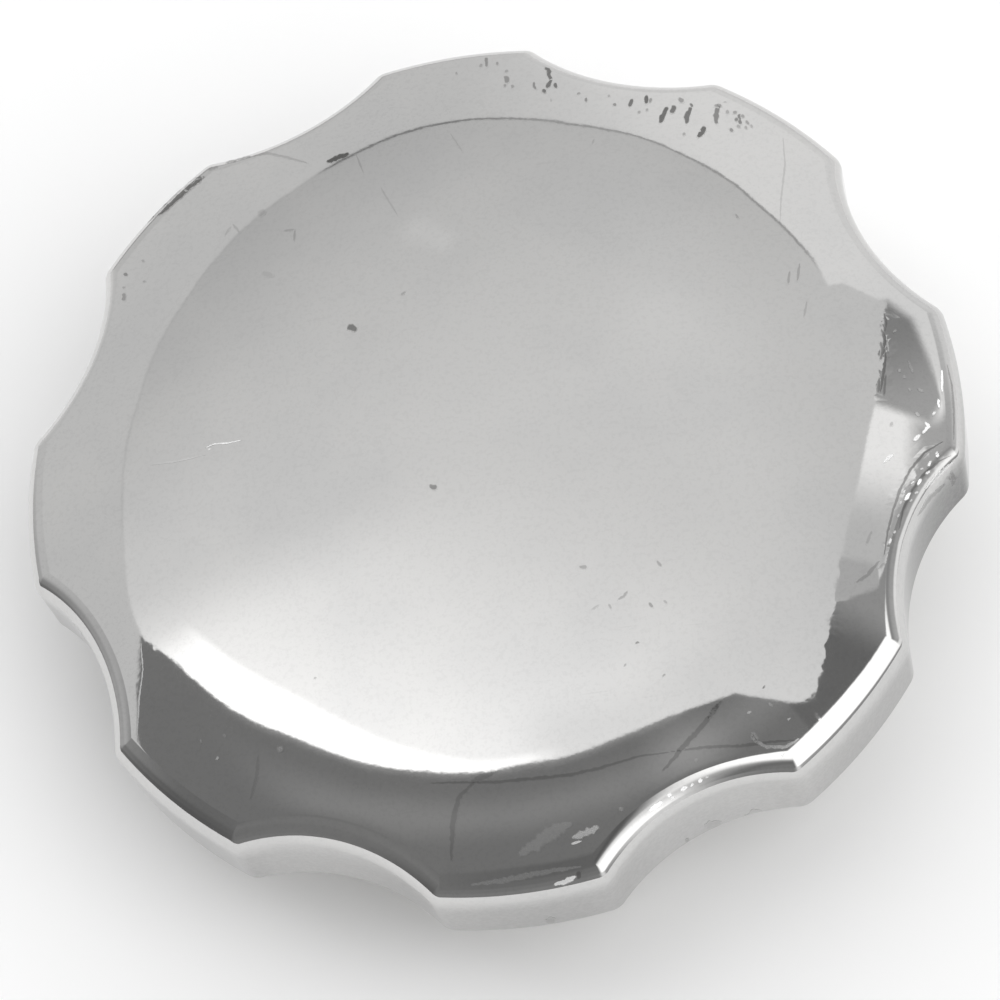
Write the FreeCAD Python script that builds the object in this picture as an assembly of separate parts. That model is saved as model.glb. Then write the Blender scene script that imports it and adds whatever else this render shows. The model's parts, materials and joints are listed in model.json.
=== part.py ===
import FreeCAD, Part
import math
import os

# A chrome vehicle fuel cap with eight finger scallops and a pressure and vacuum
# valve in its bayonet closure. Millimetres, +Z up through the dome, and z = 0 is
# the flat bottom of the closure, on which the cap stands.

V = FreeCAD.Vector

# Cover, a pressed and chromed steel shell
LOBES = 8
LOBE_R = 42.0            # axis to a lobe's outer face
SCALLOP_R = 18.3         # radius of a finger scallop
SCALLOP_DEPTH = 3.3      # from the lobe circle to a scallop's deepest point
CORNER_R = 1.9           # rounding between a lobe and a scallop
COVER_WALL = 0.9
SKIRT_H = 8.4            # bottom of the skirt to the dome's edge at a lobe
DOME_RISE = 5.9          # dome's edge at a lobe to the top
SHOULDER_R = 1.8         # rounding between the skirt and the dome
ROLL_BEVEL = 0.8         # bevel where the skirt turns in to the hem
HEM_W = 2.6              # how far the hem reaches in
HEM_CORNER_R = 1.0
CLOSURE_DROP = 12.0      # bottom of the closure to the bottom of the skirt

# Backing plate that the hem holds in the cover
PLATE_T = 1.0
PLATE_GAP = 0.15         # between the plate's edge and the cover's wall
DECK_LEAN = 1.1          # how far the step below the deck widens on its way down
DECK_GAP = 0.1           # between the deck's edge and the dome
VENT_R = 3.0

# Closure can with its valve seat
CAN_R = 21.0
CAN_WALL = 0.9
CRIMP_W = 5.0            # how far the can's bottom turns in
BEAD_H = 2.0             # bead that keeps the seal ring on
BEAD_OUT = 1.0
BEAD_GAP = 0.1           # from the bead to the seal ring
SEAT_T = 0.9
SEAT_GAP = 0.15          # between the seat plate and the can's wall
SEAT_BORE_R = 9.8
SEAT_LIP_T = 0.8
SEAT_LIP_H = 0.7         # lip's height above the seat plate

# Bayonet plate with two cam ears
EAR_REACH = 5.0          # from the can's wall to the end of an ear
EAR_HALF_ANGLE = 20.0    # degrees to each side of an ear's middle
EAR_T = 1.6
EAR_LEAD = 1.4           # rise of the cam from one end to the other
EAR_GAP = 0.3            # from the can's wall to the ear
EAR_SECTIONS = 5
ARM_HALF_ANGLE = 11.0
ARM_SHORT = 1.2          # how much shorter the arm is than the ear
STOP_ANGLE = 4.0
STOP_H = 2.2
STOP_W = 2.6
EYE_R = 12.6             # opening in the middle of the plate

# Splash baffle under the bayonet plate
BAFFLE_T = 0.7
BAFFLE_DEPTH = 2.3
BAFFLE_FOOT_R = 12.4     # flat bottom that the cap stands on
BAFFLE_SLOPE_W = 2.2
BAFFLE_SHORT = 1.2       # how much smaller its rim is than the can
BAFFLE_HOLES = 6
BAFFLE_HOLE_R = 1.7
BAFFLE_HOLE_PLACE_R = 7.6

# Rivets through the baffle, the bayonet plate, the can's bottom and the seat
RIVETS = 4
RIVET_INSET = 3.0        # from the can's outside to a rivet's axis
RIVET_R = 1.1
RIVET_HEAD_R = 1.9
RIVET_HEAD_H = 0.9

# Seal: rubber gasket in a steel ring, a thrust washer and a wave spring
SEAL_RECESS = 1.5        # gasket's face above the bottom of the skirt
SEAL_SIDE_GAP = 0.3      # between the steel ring and the backing plate's step
GASKET_T = 3.0
GASKET_W = 7.0
CARRIER_T = 0.9
CARRIER_FIT = 0.08       # steel ring's running fit on the can
CARRIER_LIP_T = 0.7
CARRIER_LIP_H = 1.8      # height of the ring's outer edge, turned down over the gasket
CARRIER_EYELET_H = 1.0   # how far its inner edge turns down
BEAD_CLEAR = 0.6         # between the bead and that inner edge
LIP_GAP = 0.05           # between the gasket and the lips
THRUST_T = 0.8
THRUST_INSET = 0.6       # steel ring's edge to the washer's outer edge
THRUST_W = 7.6
WAVE_T = 0.5
WAVE_INSET = 0.9         # washer's edges to the wave spring's edges
WAVES = 3
WAVE_POINTS = 6          # points of the spring's curve for each wave

# Pressure valve, which lifts off the seat
PRESSURE_SEAL_T = 1.2
PRESSURE_SEAL_OVERHANG = 1.0    # how far the seal reaches in from the seat's bore
PRESSURE_SEAL_INSET = 0.8       # from the pressure plate's edge to the seal's
PRESSURE_PLATE_T = 0.8
PRESSURE_PLATE_R = 13.8
PRESSURE_RIM_H = 1.8
PORTS = 4
PORT_R = 1.2
PORT_PLACE_R = 4.6
PRESSURE_WIRE = 1.2
PRESSURE_TURNS = 2.5
SPRING_SIDE_GAP = 0.25   # between the spring and the rims that centre it
SPRING_SEAT_T = 0.7
SPRING_SEAT_R = 16.4
SPRING_SEAT_EYE_R = 9.0
SPRING_LIP_H = 1.6

# Vacuum valve, whose stem runs in the pressure plate
STEM_R = 1.2
STEM_FIT = 0.07
VACUUM_DISC_R = 7.6
VACUUM_DISC_T = 0.8
VACUUM_SEAL_R = 7.3
VACUUM_SEAL_T = 1.0
STEM_GRIP_GAP = 0.03     # between the stem and what is fixed on it
CLIP_R = 3.5
CLIP_T = 0.6
STEM_HEAD_R = 1.75
STEM_HEAD_H = 0.6
VACUUM_SPRING_H = 4.2
VACUUM_SPRING_R = 2.4    # mean radius
VACUUM_WIRE = 0.45
VACUUM_TURNS = 2.5

# Felt filter between the deck and the dome
FILTER_R = 12.5
FILTER_GAP = 0.1

# How finely a coil spring is lofted
COIL_SIDES = 6
COIL_SECTIONS = 8        # for each turn

# Radii that follow from the sizes above
SCALLOP_PLACE_R = LOBE_R - SCALLOP_DEPTH + SCALLOP_R
DOME_R = (LOBE_R ** 2 + DOME_RISE ** 2) / (2 * DOME_RISE)
CAN_IN_R = CAN_R - CAN_WALL
CRIMP_R = CAN_R - CRIMP_W
EAR_R = CAN_R + EAR_REACH
RIVET_PLACE_R = CAN_R - RIVET_INSET
EYELET_IN_R = CAN_R + BEAD_OUT + BEAD_CLEAR
EYELET_OUT_R = EYELET_IN_R + CARRIER_LIP_T
GASKET_IN_R = EYELET_OUT_R + LIP_GAP
GASKET_OUT_R = GASKET_IN_R + GASKET_W
CARRIER_LIP_R = GASKET_OUT_R + LIP_GAP
CARRIER_R = CARRIER_LIP_R + CARRIER_LIP_T
THRUST_OUT_R = CARRIER_R - THRUST_INSET
THRUST_IN_R = THRUST_OUT_R - THRUST_W
DECK_R = CARRIER_R + SEAL_SIDE_GAP + PLATE_T
SPRING_OUT_R = PRESSURE_PLATE_R - PRESSURE_PLATE_T - SPRING_SIDE_GAP
SPRING_MEAN_R = SPRING_OUT_R - PRESSURE_WIRE / 2

# Heights of the cover and of what hangs from it
SKIRT_Z = CLOSURE_DROP
HEM_TOP_Z = SKIRT_Z + COVER_WALL
APEX_Z = SKIRT_Z + SKIRT_H + DOME_RISE


def dome_height(radius, depth=0.0):
    """Height of the dome at a radius, on its outer face or a depth below it."""
    centre_z = APEX_Z - DOME_R
    return centre_z + math.sqrt((DOME_R - depth) ** 2 - radius ** 2)


DECK_TOP_Z = dome_height(DECK_R, COVER_WALL) - DECK_GAP
DECK_LOW_Z = DECK_TOP_Z - PLATE_T
CAN_CEILING_Z = DECK_LOW_Z - CAN_WALL
SPRING_TOP_Z = CAN_CEILING_Z - SPRING_SEAT_T

# Heights of the closure's bottom and of the valves on their seat
BAFFLE_RIM_LOW_Z = BAFFLE_DEPTH - BAFFLE_T
BAYONET_TOP_Z = BAFFLE_DEPTH + EAR_T
SEAT_LOW_Z = BAYONET_TOP_Z + CAN_WALL
SEAT_TOP_Z = SEAT_LOW_Z + SEAT_T
SEAT_LIP_Z = SEAT_TOP_Z + SEAT_LIP_H
PLATE_LOW_Z = SEAT_LIP_Z + PRESSURE_SEAL_T
PLATE_TOP_Z = PLATE_LOW_Z + PRESSURE_PLATE_T
CLIP_LOW_Z = PLATE_TOP_Z + VACUUM_SPRING_H
CLIP_TOP_Z = CLIP_LOW_Z + CLIP_T
VACUUM_DISC_TOP_Z = PLATE_LOW_Z - VACUUM_SEAL_T
VACUUM_DISC_LOW_Z = VACUUM_DISC_TOP_Z - VACUUM_DISC_T

# Heights of the seal
GASKET_LOW_Z = SKIRT_Z + SEAL_RECESS
CARRIER_LOW_Z = GASKET_LOW_Z + GASKET_T
CARRIER_TOP_Z = CARRIER_LOW_Z + CARRIER_T
THRUST_TOP_Z = CARRIER_TOP_Z + THRUST_T
BEAD_Z = CARRIER_LOW_Z - BEAD_GAP - BEAD_H / 2


def disc(radius, low, high):
    return Part.makeCylinder(radius, high - low, V(0, 0, low))


def ring(inner, outer, low, high):
    return disc(outer, low, high).cut(disc(inner, low - 1, high + 1))


def turned(profile):
    """Revolve a closed outline of (radius, height) points about the axis."""
    points = [V(r, 0, z) for r, z in profile]
    wire = Part.makePolygon(points + points[:1])
    return Part.Face(wire).revolve(V(0, 0, 0), V(0, 0, 1), 360)


def polar(radius, degrees, z=0.0):
    angle = math.radians(degrees)
    return V(radius * math.cos(angle), radius * math.sin(angle), z)


def around(shape, count, start=0.0):
    """Copies of a shape, evenly spaced about the axis."""
    copies = []
    for i in range(count):
        copy = shape.copy()
        copy.rotate(V(0, 0, 0), V(0, 0, 1), start + i * 360.0 / count)
        copies.append(copy)
    return copies


def arc_edge(start, middle, end):
    return Part.Arc(start, middle, end).toShape()


def sector(inner, outer, start, end, low, high):
    """A piece of a ring between two angles."""
    middle = (start + end) / 2
    wire = Part.Wire([
        arc_edge(polar(outer, start, low), polar(outer, middle, low), polar(outer, end, low)),
        Part.makeLine(polar(outer, end, low), polar(inner, end, low)),
        arc_edge(polar(inner, end, low), polar(inner, middle, low), polar(inner, start, low)),
        Part.makeLine(polar(inner, start, low), polar(outer, start, low)),
    ])
    return Part.Face(wire).extrude(V(0, 0, high - low))


def lobed_wire(inset, corner, z):
    """The cover's outline, moved in by inset, with rounded corners.

    A lobe is an arc about the axis, a scallop is an arc about a point outside,
    and a corner arc touches both.
    """
    pitch = 360.0 / LOBES
    lobe_r = LOBE_R - inset
    scallop_r = SCALLOP_R + inset
    to_corner = lobe_r - corner
    reach = scallop_r + corner
    cosine = (to_corner ** 2 + SCALLOP_PLACE_R ** 2 - reach ** 2) / (2 * to_corner * SCALLOP_PLACE_R)
    half = math.degrees(math.acos(cosine))
    edges = []
    for i in range(LOBES):
        middle = (i + 0.5) * pitch
        scallop = polar(SCALLOP_PLACE_R, middle, z)
        on_lobe = []
        on_scallop = []
        on_corner = []
        for side in (-1, 1):
            centre = polar(to_corner, middle + side * half, z)
            lobe_point = polar(lobe_r, middle + side * half, z)
            scallop_point = scallop + (centre - scallop) * (scallop_r / reach)
            out = (lobe_point - centre).normalize() + (scallop_point - centre).normalize()
            on_lobe.append(lobe_point)
            on_scallop.append(scallop_point)
            on_corner.append(centre + out.normalize() * corner)
        deepest = polar(SCALLOP_PLACE_R - scallop_r, middle, z)
        next_lobe = polar(lobe_r, middle + pitch / 2, z)
        lobe_end = polar(lobe_r, middle + pitch - half, z)
        edges.append(arc_edge(on_lobe[0], on_corner[0], on_scallop[0]))
        edges.append(arc_edge(on_scallop[0], deepest, on_scallop[1]))
        edges.append(arc_edge(on_scallop[1], on_corner[1], on_lobe[1]))
        edges.append(arc_edge(on_lobe[1], next_lobe, lobe_end))
    return Part.Wire(edges)


def lobed_prism(inset, corner, low, high):
    return Part.Face(lobed_wire(inset, corner, low)).extrude(V(0, 0, high - low))


def domed_block(inset, corner, low):
    """A lobed block under the dome, or under a face parallel to it."""
    ball = Part.makeSphere(DOME_R - inset)
    ball.rotate(V(0, 0, 0), V(0, 1, 0), 90)
    ball.translate(V(0, 0, APEX_Z - DOME_R))
    return lobed_prism(inset, corner, low, APEX_Z + 1).common(ball)


def cover():
    """Pressed shell: dome, scalloped skirt and the hem turned in below."""
    outside = domed_block(0.0, CORNER_R, SKIRT_Z)
    shoulder = [e for e in outside.Edges if e.BoundBox.ZMin > SKIRT_Z + SKIRT_H / 2]
    outside = outside.makeFillet(SHOULDER_R, shoulder)
    base = [e for e in outside.Edges if e.BoundBox.ZMax < SKIRT_Z + 0.01]
    outside = outside.makeChamfer(ROLL_BEVEL, base)
    hollow = domed_block(COVER_WALL, CORNER_R - COVER_WALL, HEM_TOP_Z)
    mouth = lobed_prism(COVER_WALL + HEM_W, HEM_CORNER_R, SKIRT_Z - 1, HEM_TOP_Z + 1)
    return outside.cut(hollow).cut(mouth)


def backing_plate():
    """Lobed rim on the hem, a sloping step and a raised deck for the closure."""
    foot_r = DECK_R + DECK_LEAN
    rim_top = HEM_TOP_Z + PLATE_T
    inset = COVER_WALL + PLATE_GAP
    rim = lobed_prism(inset, CORNER_R - inset, HEM_TOP_Z, rim_top)
    rim = rim.cut(disc(foot_r, HEM_TOP_Z - 1, rim_top + 1))
    hat = turned([
        (VENT_R, DECK_LOW_Z),
        (DECK_R - PLATE_T, DECK_LOW_Z),
        (foot_r - PLATE_T, HEM_TOP_Z),
        (foot_r + PLATE_T, HEM_TOP_Z),
        (foot_r + PLATE_T, rim_top),
        (foot_r, rim_top),
        (DECK_R, DECK_TOP_Z),
        (VENT_R, DECK_TOP_Z),
    ])
    return hat.fuse(rim).removeSplitter()


def vent_filter():
    """Felt pad over the vent hole, between the deck and the dome."""
    return disc(FILTER_R, DECK_TOP_Z, dome_height(FILTER_R, COVER_WALL) - FILTER_GAP)


def riveted(shape, low, high):
    """The shape with its rivet holes, which stand between the ears."""
    hole = Part.makeCylinder(RIVET_R, high - low + 2, V(RIVET_PLACE_R, 0, low - 1))
    return shape.cut(Part.makeCompound(around(hole, RIVETS, 180.0 / RIVETS)))


def closure_can():
    """Deep-drawn can: its top under the deck, a rolled bead and a crimped bottom."""
    can = turned([
        (VENT_R, CAN_CEILING_Z),
        (CAN_IN_R, CAN_CEILING_Z),
        (CAN_IN_R, BEAD_Z + BEAD_H / 2),
        (CAN_IN_R + BEAD_OUT, BEAD_Z),
        (CAN_IN_R, BEAD_Z - BEAD_H / 2),
        (CAN_IN_R, SEAT_LOW_Z),
        (CRIMP_R, SEAT_LOW_Z),
        (CRIMP_R, BAYONET_TOP_Z),
        (CAN_R, BAYONET_TOP_Z),
        (CAN_R, BEAD_Z - BEAD_H / 2),
        (CAN_R + BEAD_OUT, BEAD_Z),
        (CAN_R, BEAD_Z + BEAD_H / 2),
        (CAN_R, DECK_LOW_Z),
        (VENT_R, DECK_LOW_Z),
    ])
    return riveted(can, BAYONET_TOP_Z, SEAT_LOW_Z)


def valve_seat():
    """Seat plate on the can's bottom, with a drawn lip around its bore."""
    plate_r = CAN_IN_R - SEAT_GAP
    lip_r = SEAT_BORE_R + SEAT_LIP_T
    plate = turned([
        (SEAT_BORE_R, SEAT_LOW_Z),
        (plate_r, SEAT_LOW_Z),
        (plate_r, SEAT_TOP_Z),
        (lip_r, SEAT_TOP_Z),
        (lip_r, SEAT_LIP_Z),
        (SEAT_BORE_R, SEAT_LIP_Z),
    ])
    return riveted(plate, SEAT_LOW_Z, SEAT_TOP_Z)


def cam_section(degrees, low):
    """Upright cut through an ear, as a closed wire."""
    inner = CAN_R + EAR_GAP
    corners = [
        polar(inner, degrees, low),
        polar(EAR_R, degrees, low),
        polar(EAR_R, degrees, low + EAR_T),
        polar(inner, degrees, low + EAR_T),
    ]
    return Part.makePolygon(corners + corners[:1])


def ear():
    """A cam that rises along its length, with its arm and its end stop."""
    sections = []
    for i in range(EAR_SECTIONS):
        share = 2.0 * i / (EAR_SECTIONS - 1) - 1
        sections.append(cam_section(share * EAR_HALF_ANGLE, BAFFLE_DEPTH + share * EAR_LEAD / 2))
    cam = Part.makeLoft(sections, True, False)
    arm = sector(
        CAN_R - 1, EAR_R - ARM_SHORT, -ARM_HALF_ANGLE, ARM_HALF_ANGLE, BAFFLE_DEPTH, BAYONET_TOP_Z
    )
    stop_low = BAFFLE_DEPTH + EAR_LEAD / 2
    stop = sector(
        EAR_R - STOP_W, EAR_R, EAR_HALF_ANGLE - STOP_ANGLE, EAR_HALF_ANGLE,
        stop_low, stop_low + EAR_T + STOP_H,
    )
    return cam.fuse([arm, stop])


def bayonet_plate():
    """Steel plate under the can with two cam ears for the filler neck."""
    plate = ring(EYE_R, CAN_R, BAFFLE_DEPTH, BAYONET_TOP_Z)
    plate = plate.fuse(around(ear(), 2)).removeSplitter()
    return riveted(plate, BAFFLE_DEPTH, BAYONET_TOP_Z)


def splash_baffle():
    """Dished cup under the valve, with holes for the vapour."""
    rim_r = CAN_R - BAFFLE_SHORT
    slope_r = BAFFLE_FOOT_R + BAFFLE_SLOPE_W
    cup = turned([
        (0, 0),
        (BAFFLE_FOOT_R, 0),
        (slope_r, BAFFLE_RIM_LOW_Z),
        (rim_r, BAFFLE_RIM_LOW_Z),
        (rim_r, BAFFLE_DEPTH),
        (slope_r - BAFFLE_T / 2, BAFFLE_DEPTH),
        (BAFFLE_FOOT_R - BAFFLE_T / 2, BAFFLE_T),
        (0, BAFFLE_T),
    ])
    hole = Part.makeCylinder(BAFFLE_HOLE_R, BAFFLE_T + 2, V(BAFFLE_HOLE_PLACE_R, 0, -1))
    cup = cup.cut(Part.makeCompound(around(hole, BAFFLE_HOLES)))
    return riveted(cup, BAFFLE_RIM_LOW_Z, BAFFLE_DEPTH)


def bayonet_rivets():
    """Rivets with a flat head below the baffle and one on the seat plate."""
    rivet = turned([
        (0, BAFFLE_RIM_LOW_Z - RIVET_HEAD_H),
        (RIVET_HEAD_R, BAFFLE_RIM_LOW_Z - RIVET_HEAD_H),
        (RIVET_HEAD_R, BAFFLE_RIM_LOW_Z),
        (RIVET_R, BAFFLE_RIM_LOW_Z),
        (RIVET_R, SEAT_TOP_Z),
        (RIVET_HEAD_R, SEAT_TOP_Z),
        (RIVET_HEAD_R, SEAT_TOP_Z + RIVET_HEAD_H),
        (0, SEAT_TOP_Z + RIVET_HEAD_H),
    ])
    rivet.translate(V(RIVET_PLACE_R, 0, 0))
    return Part.makeCompound(around(rivet, RIVETS, 180.0 / RIVETS))


def seal_carrier():
    """Pressed ring that turns on the can and holds the gasket's edges."""
    bore_r = CAN_R + CARRIER_FIT
    return turned([
        (bore_r, CARRIER_LOW_Z),
        (EYELET_IN_R, CARRIER_LOW_Z),
        (EYELET_IN_R, CARRIER_LOW_Z - CARRIER_EYELET_H),
        (EYELET_OUT_R, CARRIER_LOW_Z - CARRIER_EYELET_H),
        (EYELET_OUT_R, CARRIER_LOW_Z),
        (CARRIER_LIP_R, CARRIER_LOW_Z),
        (CARRIER_LIP_R, CARRIER_TOP_Z - CARRIER_LIP_H),
        (CARRIER_R, CARRIER_TOP_Z - CARRIER_LIP_H),
        (CARRIER_R, CARRIER_TOP_Z),
        (bore_r, CARRIER_TOP_Z),
    ])


def gasket():
    """Ring cut from rubber sheet, whose lower face meets the filler neck."""
    return ring(GASKET_IN_R, GASKET_OUT_R, GASKET_LOW_Z, CARRIER_LOW_Z)


def thrust_washer():
    """Plastic washer that lets the cap turn while the seal stands still."""
    return ring(THRUST_IN_R, THRUST_OUT_R, CARRIER_TOP_Z, THRUST_TOP_Z)


def wave_curve(radius, lift):
    """Closed curve on a cylinder that rises and falls with the waves."""
    swing = (DECK_LOW_Z - THRUST_TOP_Z - WAVE_T) / 2
    middle = (DECK_LOW_Z + THRUST_TOP_Z) / 2
    count = WAVES * WAVE_POINTS
    points = []
    for i in range(count):
        degrees = i * 360.0 / count
        z = middle + lift + swing * math.cos(math.radians(WAVES * degrees))
        points.append(polar(radius, degrees, z))
    curve = Part.BSplineCurve()
    curve.interpolate(points, PeriodicFlag=True)
    return curve.toShape()


def preload_spring():
    """Wave washer between the deck and the thrust washer."""
    inner = THRUST_IN_R + WAVE_INSET
    outer = THRUST_OUT_R - WAVE_INSET
    half = WAVE_T / 2
    corners = [(inner, -half), (outer, -half), (outer, half), (inner, half)]
    curves = [wave_curve(radius, lift) for radius, lift in corners]
    bands = [Part.makeRuledSurface(curves[i - 1], curves[i]) for i in range(len(curves))]
    shell = Part.makeShell([face for band in bands for face in band.Faces])
    shell.sewShape()
    solid = Part.makeSolid(shell)
    if solid.Volume < 0:
        solid.reverse()
    return solid


def coil(mean_r, wire, low, high, turns):
    """Wire spring with ends ground flat, lofted through its sections."""
    steps = math.ceil(turns * COIL_SECTIONS)
    sections = []
    for i in range(steps + 1):
        degrees = 360.0 * turns * i / steps
        middle = low + (high - low) * i / steps
        corners = []
        for j in range(COIL_SIDES):
            angle = 2 * math.pi * j / COIL_SIDES
            out = wire / 2 * math.cos(angle)
            corners.append(polar(mean_r + out, degrees, middle + wire / 2 * math.sin(angle)))
        sections.append(Part.makePolygon(corners + corners[:1]))
    swept = Part.makeLoft(sections, True, False)
    return swept.common(ring(mean_r - wire, mean_r + wire, low, high))


def pressure_spring():
    return coil(SPRING_MEAN_R, PRESSURE_WIRE, PLATE_TOP_Z, SPRING_TOP_Z, PRESSURE_TURNS)


def spring_seat():
    """Pressed ring under the can's top that centres the pressure spring."""
    lip_in_r = SPRING_OUT_R + SPRING_SIDE_GAP
    lip_out_r = lip_in_r + SPRING_SEAT_T
    return turned([
        (SPRING_SEAT_EYE_R, SPRING_TOP_Z),
        (lip_in_r, SPRING_TOP_Z),
        (lip_in_r, SPRING_TOP_Z - SPRING_LIP_H),
        (lip_out_r, SPRING_TOP_Z - SPRING_LIP_H),
        (lip_out_r, SPRING_TOP_Z),
        (SPRING_SEAT_R, SPRING_TOP_Z),
        (SPRING_SEAT_R, CAN_CEILING_Z),
        (SPRING_SEAT_EYE_R, CAN_CEILING_Z),
    ])


def pressure_plate():
    """Cupped plate that carries the rubber ring and guides the vacuum stem."""
    rim_in_r = PRESSURE_PLATE_R - PRESSURE_PLATE_T
    rim_top = PLATE_TOP_Z + PRESSURE_RIM_H
    plate = turned([
        (STEM_R + STEM_FIT, PLATE_LOW_Z),
        (PRESSURE_PLATE_R, PLATE_LOW_Z),
        (PRESSURE_PLATE_R, rim_top),
        (rim_in_r, rim_top),
        (rim_in_r, PLATE_TOP_Z),
        (STEM_R + STEM_FIT, PLATE_TOP_Z),
    ])
    port = Part.makeCylinder(PORT_R, PRESSURE_PLATE_T + 2, V(PORT_PLACE_R, 0, PLATE_LOW_Z - 1))
    return plate.cut(Part.makeCompound(around(port, PORTS)))


def pressure_seal():
    inner = SEAT_BORE_R - PRESSURE_SEAL_OVERHANG
    outer = PRESSURE_PLATE_R - PRESSURE_SEAL_INSET
    return ring(inner, outer, SEAT_LIP_Z, PLATE_LOW_Z)


def vacuum_valve():
    """Turned disc and stem, its end headed over above the clip."""
    return turned([
        (0, VACUUM_DISC_LOW_Z),
        (VACUUM_DISC_R, VACUUM_DISC_LOW_Z),
        (VACUUM_DISC_R, VACUUM_DISC_TOP_Z),
        (STEM_R, VACUUM_DISC_TOP_Z),
        (STEM_R, CLIP_TOP_Z),
        (STEM_HEAD_R, CLIP_TOP_Z),
        (STEM_R, CLIP_TOP_Z + STEM_HEAD_H),
        (0, CLIP_TOP_Z + STEM_HEAD_H),
    ])


def vacuum_seal():
    return ring(STEM_R + STEM_GRIP_GAP, VACUUM_SEAL_R, VACUUM_DISC_TOP_Z, PLATE_LOW_Z)


def stem_clip():
    return ring(STEM_R + STEM_GRIP_GAP, CLIP_R, CLIP_LOW_Z, CLIP_TOP_Z)


def vacuum_spring():
    return coil(VACUUM_SPRING_R, VACUUM_WIRE, PLATE_TOP_Z, CLIP_LOW_Z, VACUUM_TURNS)


SUB_PARTS = [
    cover, backing_plate, vent_filter,
    closure_can, valve_seat, spring_seat, bayonet_plate, splash_baffle, bayonet_rivets,
    preload_spring, thrust_washer, seal_carrier, gasket,
    pressure_spring, pressure_plate, pressure_seal,
    vacuum_spring, vacuum_valve, vacuum_seal, stem_clip,
]


def main():
    os.makedirs("parts", exist_ok=True)
    for make in SUB_PARTS:
        shape = make()
        solids = shape.Solids
        if len(solids) == 1:
            shape = solids[0]
        shape.exportStep("parts/" + make.__name__ + ".step")
        print(make.__name__, len(solids), "solids, valid", shape.isValid(), round(shape.Volume, 2), "mm3")


main()
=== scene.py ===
import json
import math
import random

import bpy
import numpy as np
from mathutils import Matrix, Vector
from mathutils.bvhtree import BVHTree

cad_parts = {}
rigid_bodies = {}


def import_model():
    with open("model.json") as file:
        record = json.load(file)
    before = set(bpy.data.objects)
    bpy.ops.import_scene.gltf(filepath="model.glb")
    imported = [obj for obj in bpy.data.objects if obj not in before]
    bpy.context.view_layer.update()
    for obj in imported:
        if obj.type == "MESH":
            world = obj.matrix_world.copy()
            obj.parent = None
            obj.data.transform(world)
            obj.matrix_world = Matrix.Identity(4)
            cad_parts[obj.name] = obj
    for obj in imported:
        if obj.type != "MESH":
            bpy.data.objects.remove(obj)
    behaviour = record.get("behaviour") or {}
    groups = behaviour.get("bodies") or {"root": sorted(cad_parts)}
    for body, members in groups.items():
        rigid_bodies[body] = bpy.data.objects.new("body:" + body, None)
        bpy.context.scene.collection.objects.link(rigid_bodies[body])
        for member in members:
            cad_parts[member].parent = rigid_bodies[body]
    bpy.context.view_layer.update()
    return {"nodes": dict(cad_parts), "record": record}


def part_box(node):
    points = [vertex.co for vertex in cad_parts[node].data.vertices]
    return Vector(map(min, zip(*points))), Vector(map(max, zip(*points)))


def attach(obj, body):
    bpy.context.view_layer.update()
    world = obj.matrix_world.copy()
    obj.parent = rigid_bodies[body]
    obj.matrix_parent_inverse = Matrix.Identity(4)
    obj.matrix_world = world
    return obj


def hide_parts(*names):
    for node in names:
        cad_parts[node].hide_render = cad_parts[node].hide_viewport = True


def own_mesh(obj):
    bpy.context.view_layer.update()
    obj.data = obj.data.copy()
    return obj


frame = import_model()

MM = 0.001

# The photograph's camera, and how far it looks past the middle of the cap
CAMERA_AZIMUTH = 15.38
CAMERA_ELEVATION = 61.25
CAMERA_ROLL = -21.91
CAMERA_DISTANCE = 294.1 * MM
CAMERA_LENS = 120.1
SENSOR = 36.0
CLIP = (0.01, 50)
PHOTO_SIZE = 1000
TARGET_HEIGHT = 20.4 * MM
TARGET_PX = (484.0, 446.9)

# Cover, with the sizes of the solid that it stands for
COVER_LOW, COVER_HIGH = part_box("cover")
LOBES = 8
LOBE_R = min(COVER_HIGH.x, COVER_HIGH.y, -COVER_LOW.x, -COVER_LOW.y)
SKIRT_Z = COVER_LOW.z
APEX_Z = COVER_HIGH.z
SCALLOP_R = 18.3 * MM
SCALLOP_DEPTH = 3.3 * MM
CORNER_R = 1.9 * MM
COVER_WALL = 0.9 * MM
DOME_RISE = 5.9 * MM
SHOULDER_R = 1.8 * MM
ROLL_R = 1.1 * MM
HEM_W = 2.6 * MM
HEM_CORNER_R = 1.0 * MM
HEM_EDGE_R = 0.25 * MM
SCALLOP_PLACE_R = LOBE_R - SCALLOP_DEPTH + SCALLOP_R
DOME_R = (LOBE_R ** 2 + DOME_RISE ** 2) / (2 * DOME_RISE)
DOME_CENTRE = Vector((0, 0, APEX_Z - DOME_R))

# How finely the cover's mesh is cut
LOBE_STEPS = 16
CORNER_STEPS = 8
SCALLOP_STEPS = 36
DOME_RINGS = 48
SHOULDER_RINGS = 16
WALL_RINGS = 4
ROLL_RINGS = 8
EDGE_RINGS = 3
INSIDE_SHARES = (1.0, 0.75, 0.5, 0.25)
SHARP_ANGLE = math.radians(40)

# The dome's shading bends into the shoulder: at which shares of the way to the dome's edge there
# are further rings, where it starts, how far it has bent at the edge, at least and where most,
# and the side on which it bends most
SOFT_SHARES = (0.984, 0.992)
SOFT_START = 0.975
SOFT_BEND = (0.02, 0.14)
SOFT_SIDE = math.radians(-122)


def camera_axes():
    """Directions from the cap to the camera, to its right and up, before its roll."""
    azimuth = math.radians(CAMERA_AZIMUTH)
    elevation = math.radians(CAMERA_ELEVATION)
    back = Vector((
        math.sin(azimuth) * math.cos(elevation),
        -math.cos(azimuth) * math.cos(elevation),
        math.sin(elevation),
    ))
    right = Vector((math.cos(azimuth), math.sin(azimuth), 0))
    return back, right, back.cross(right)


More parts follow.
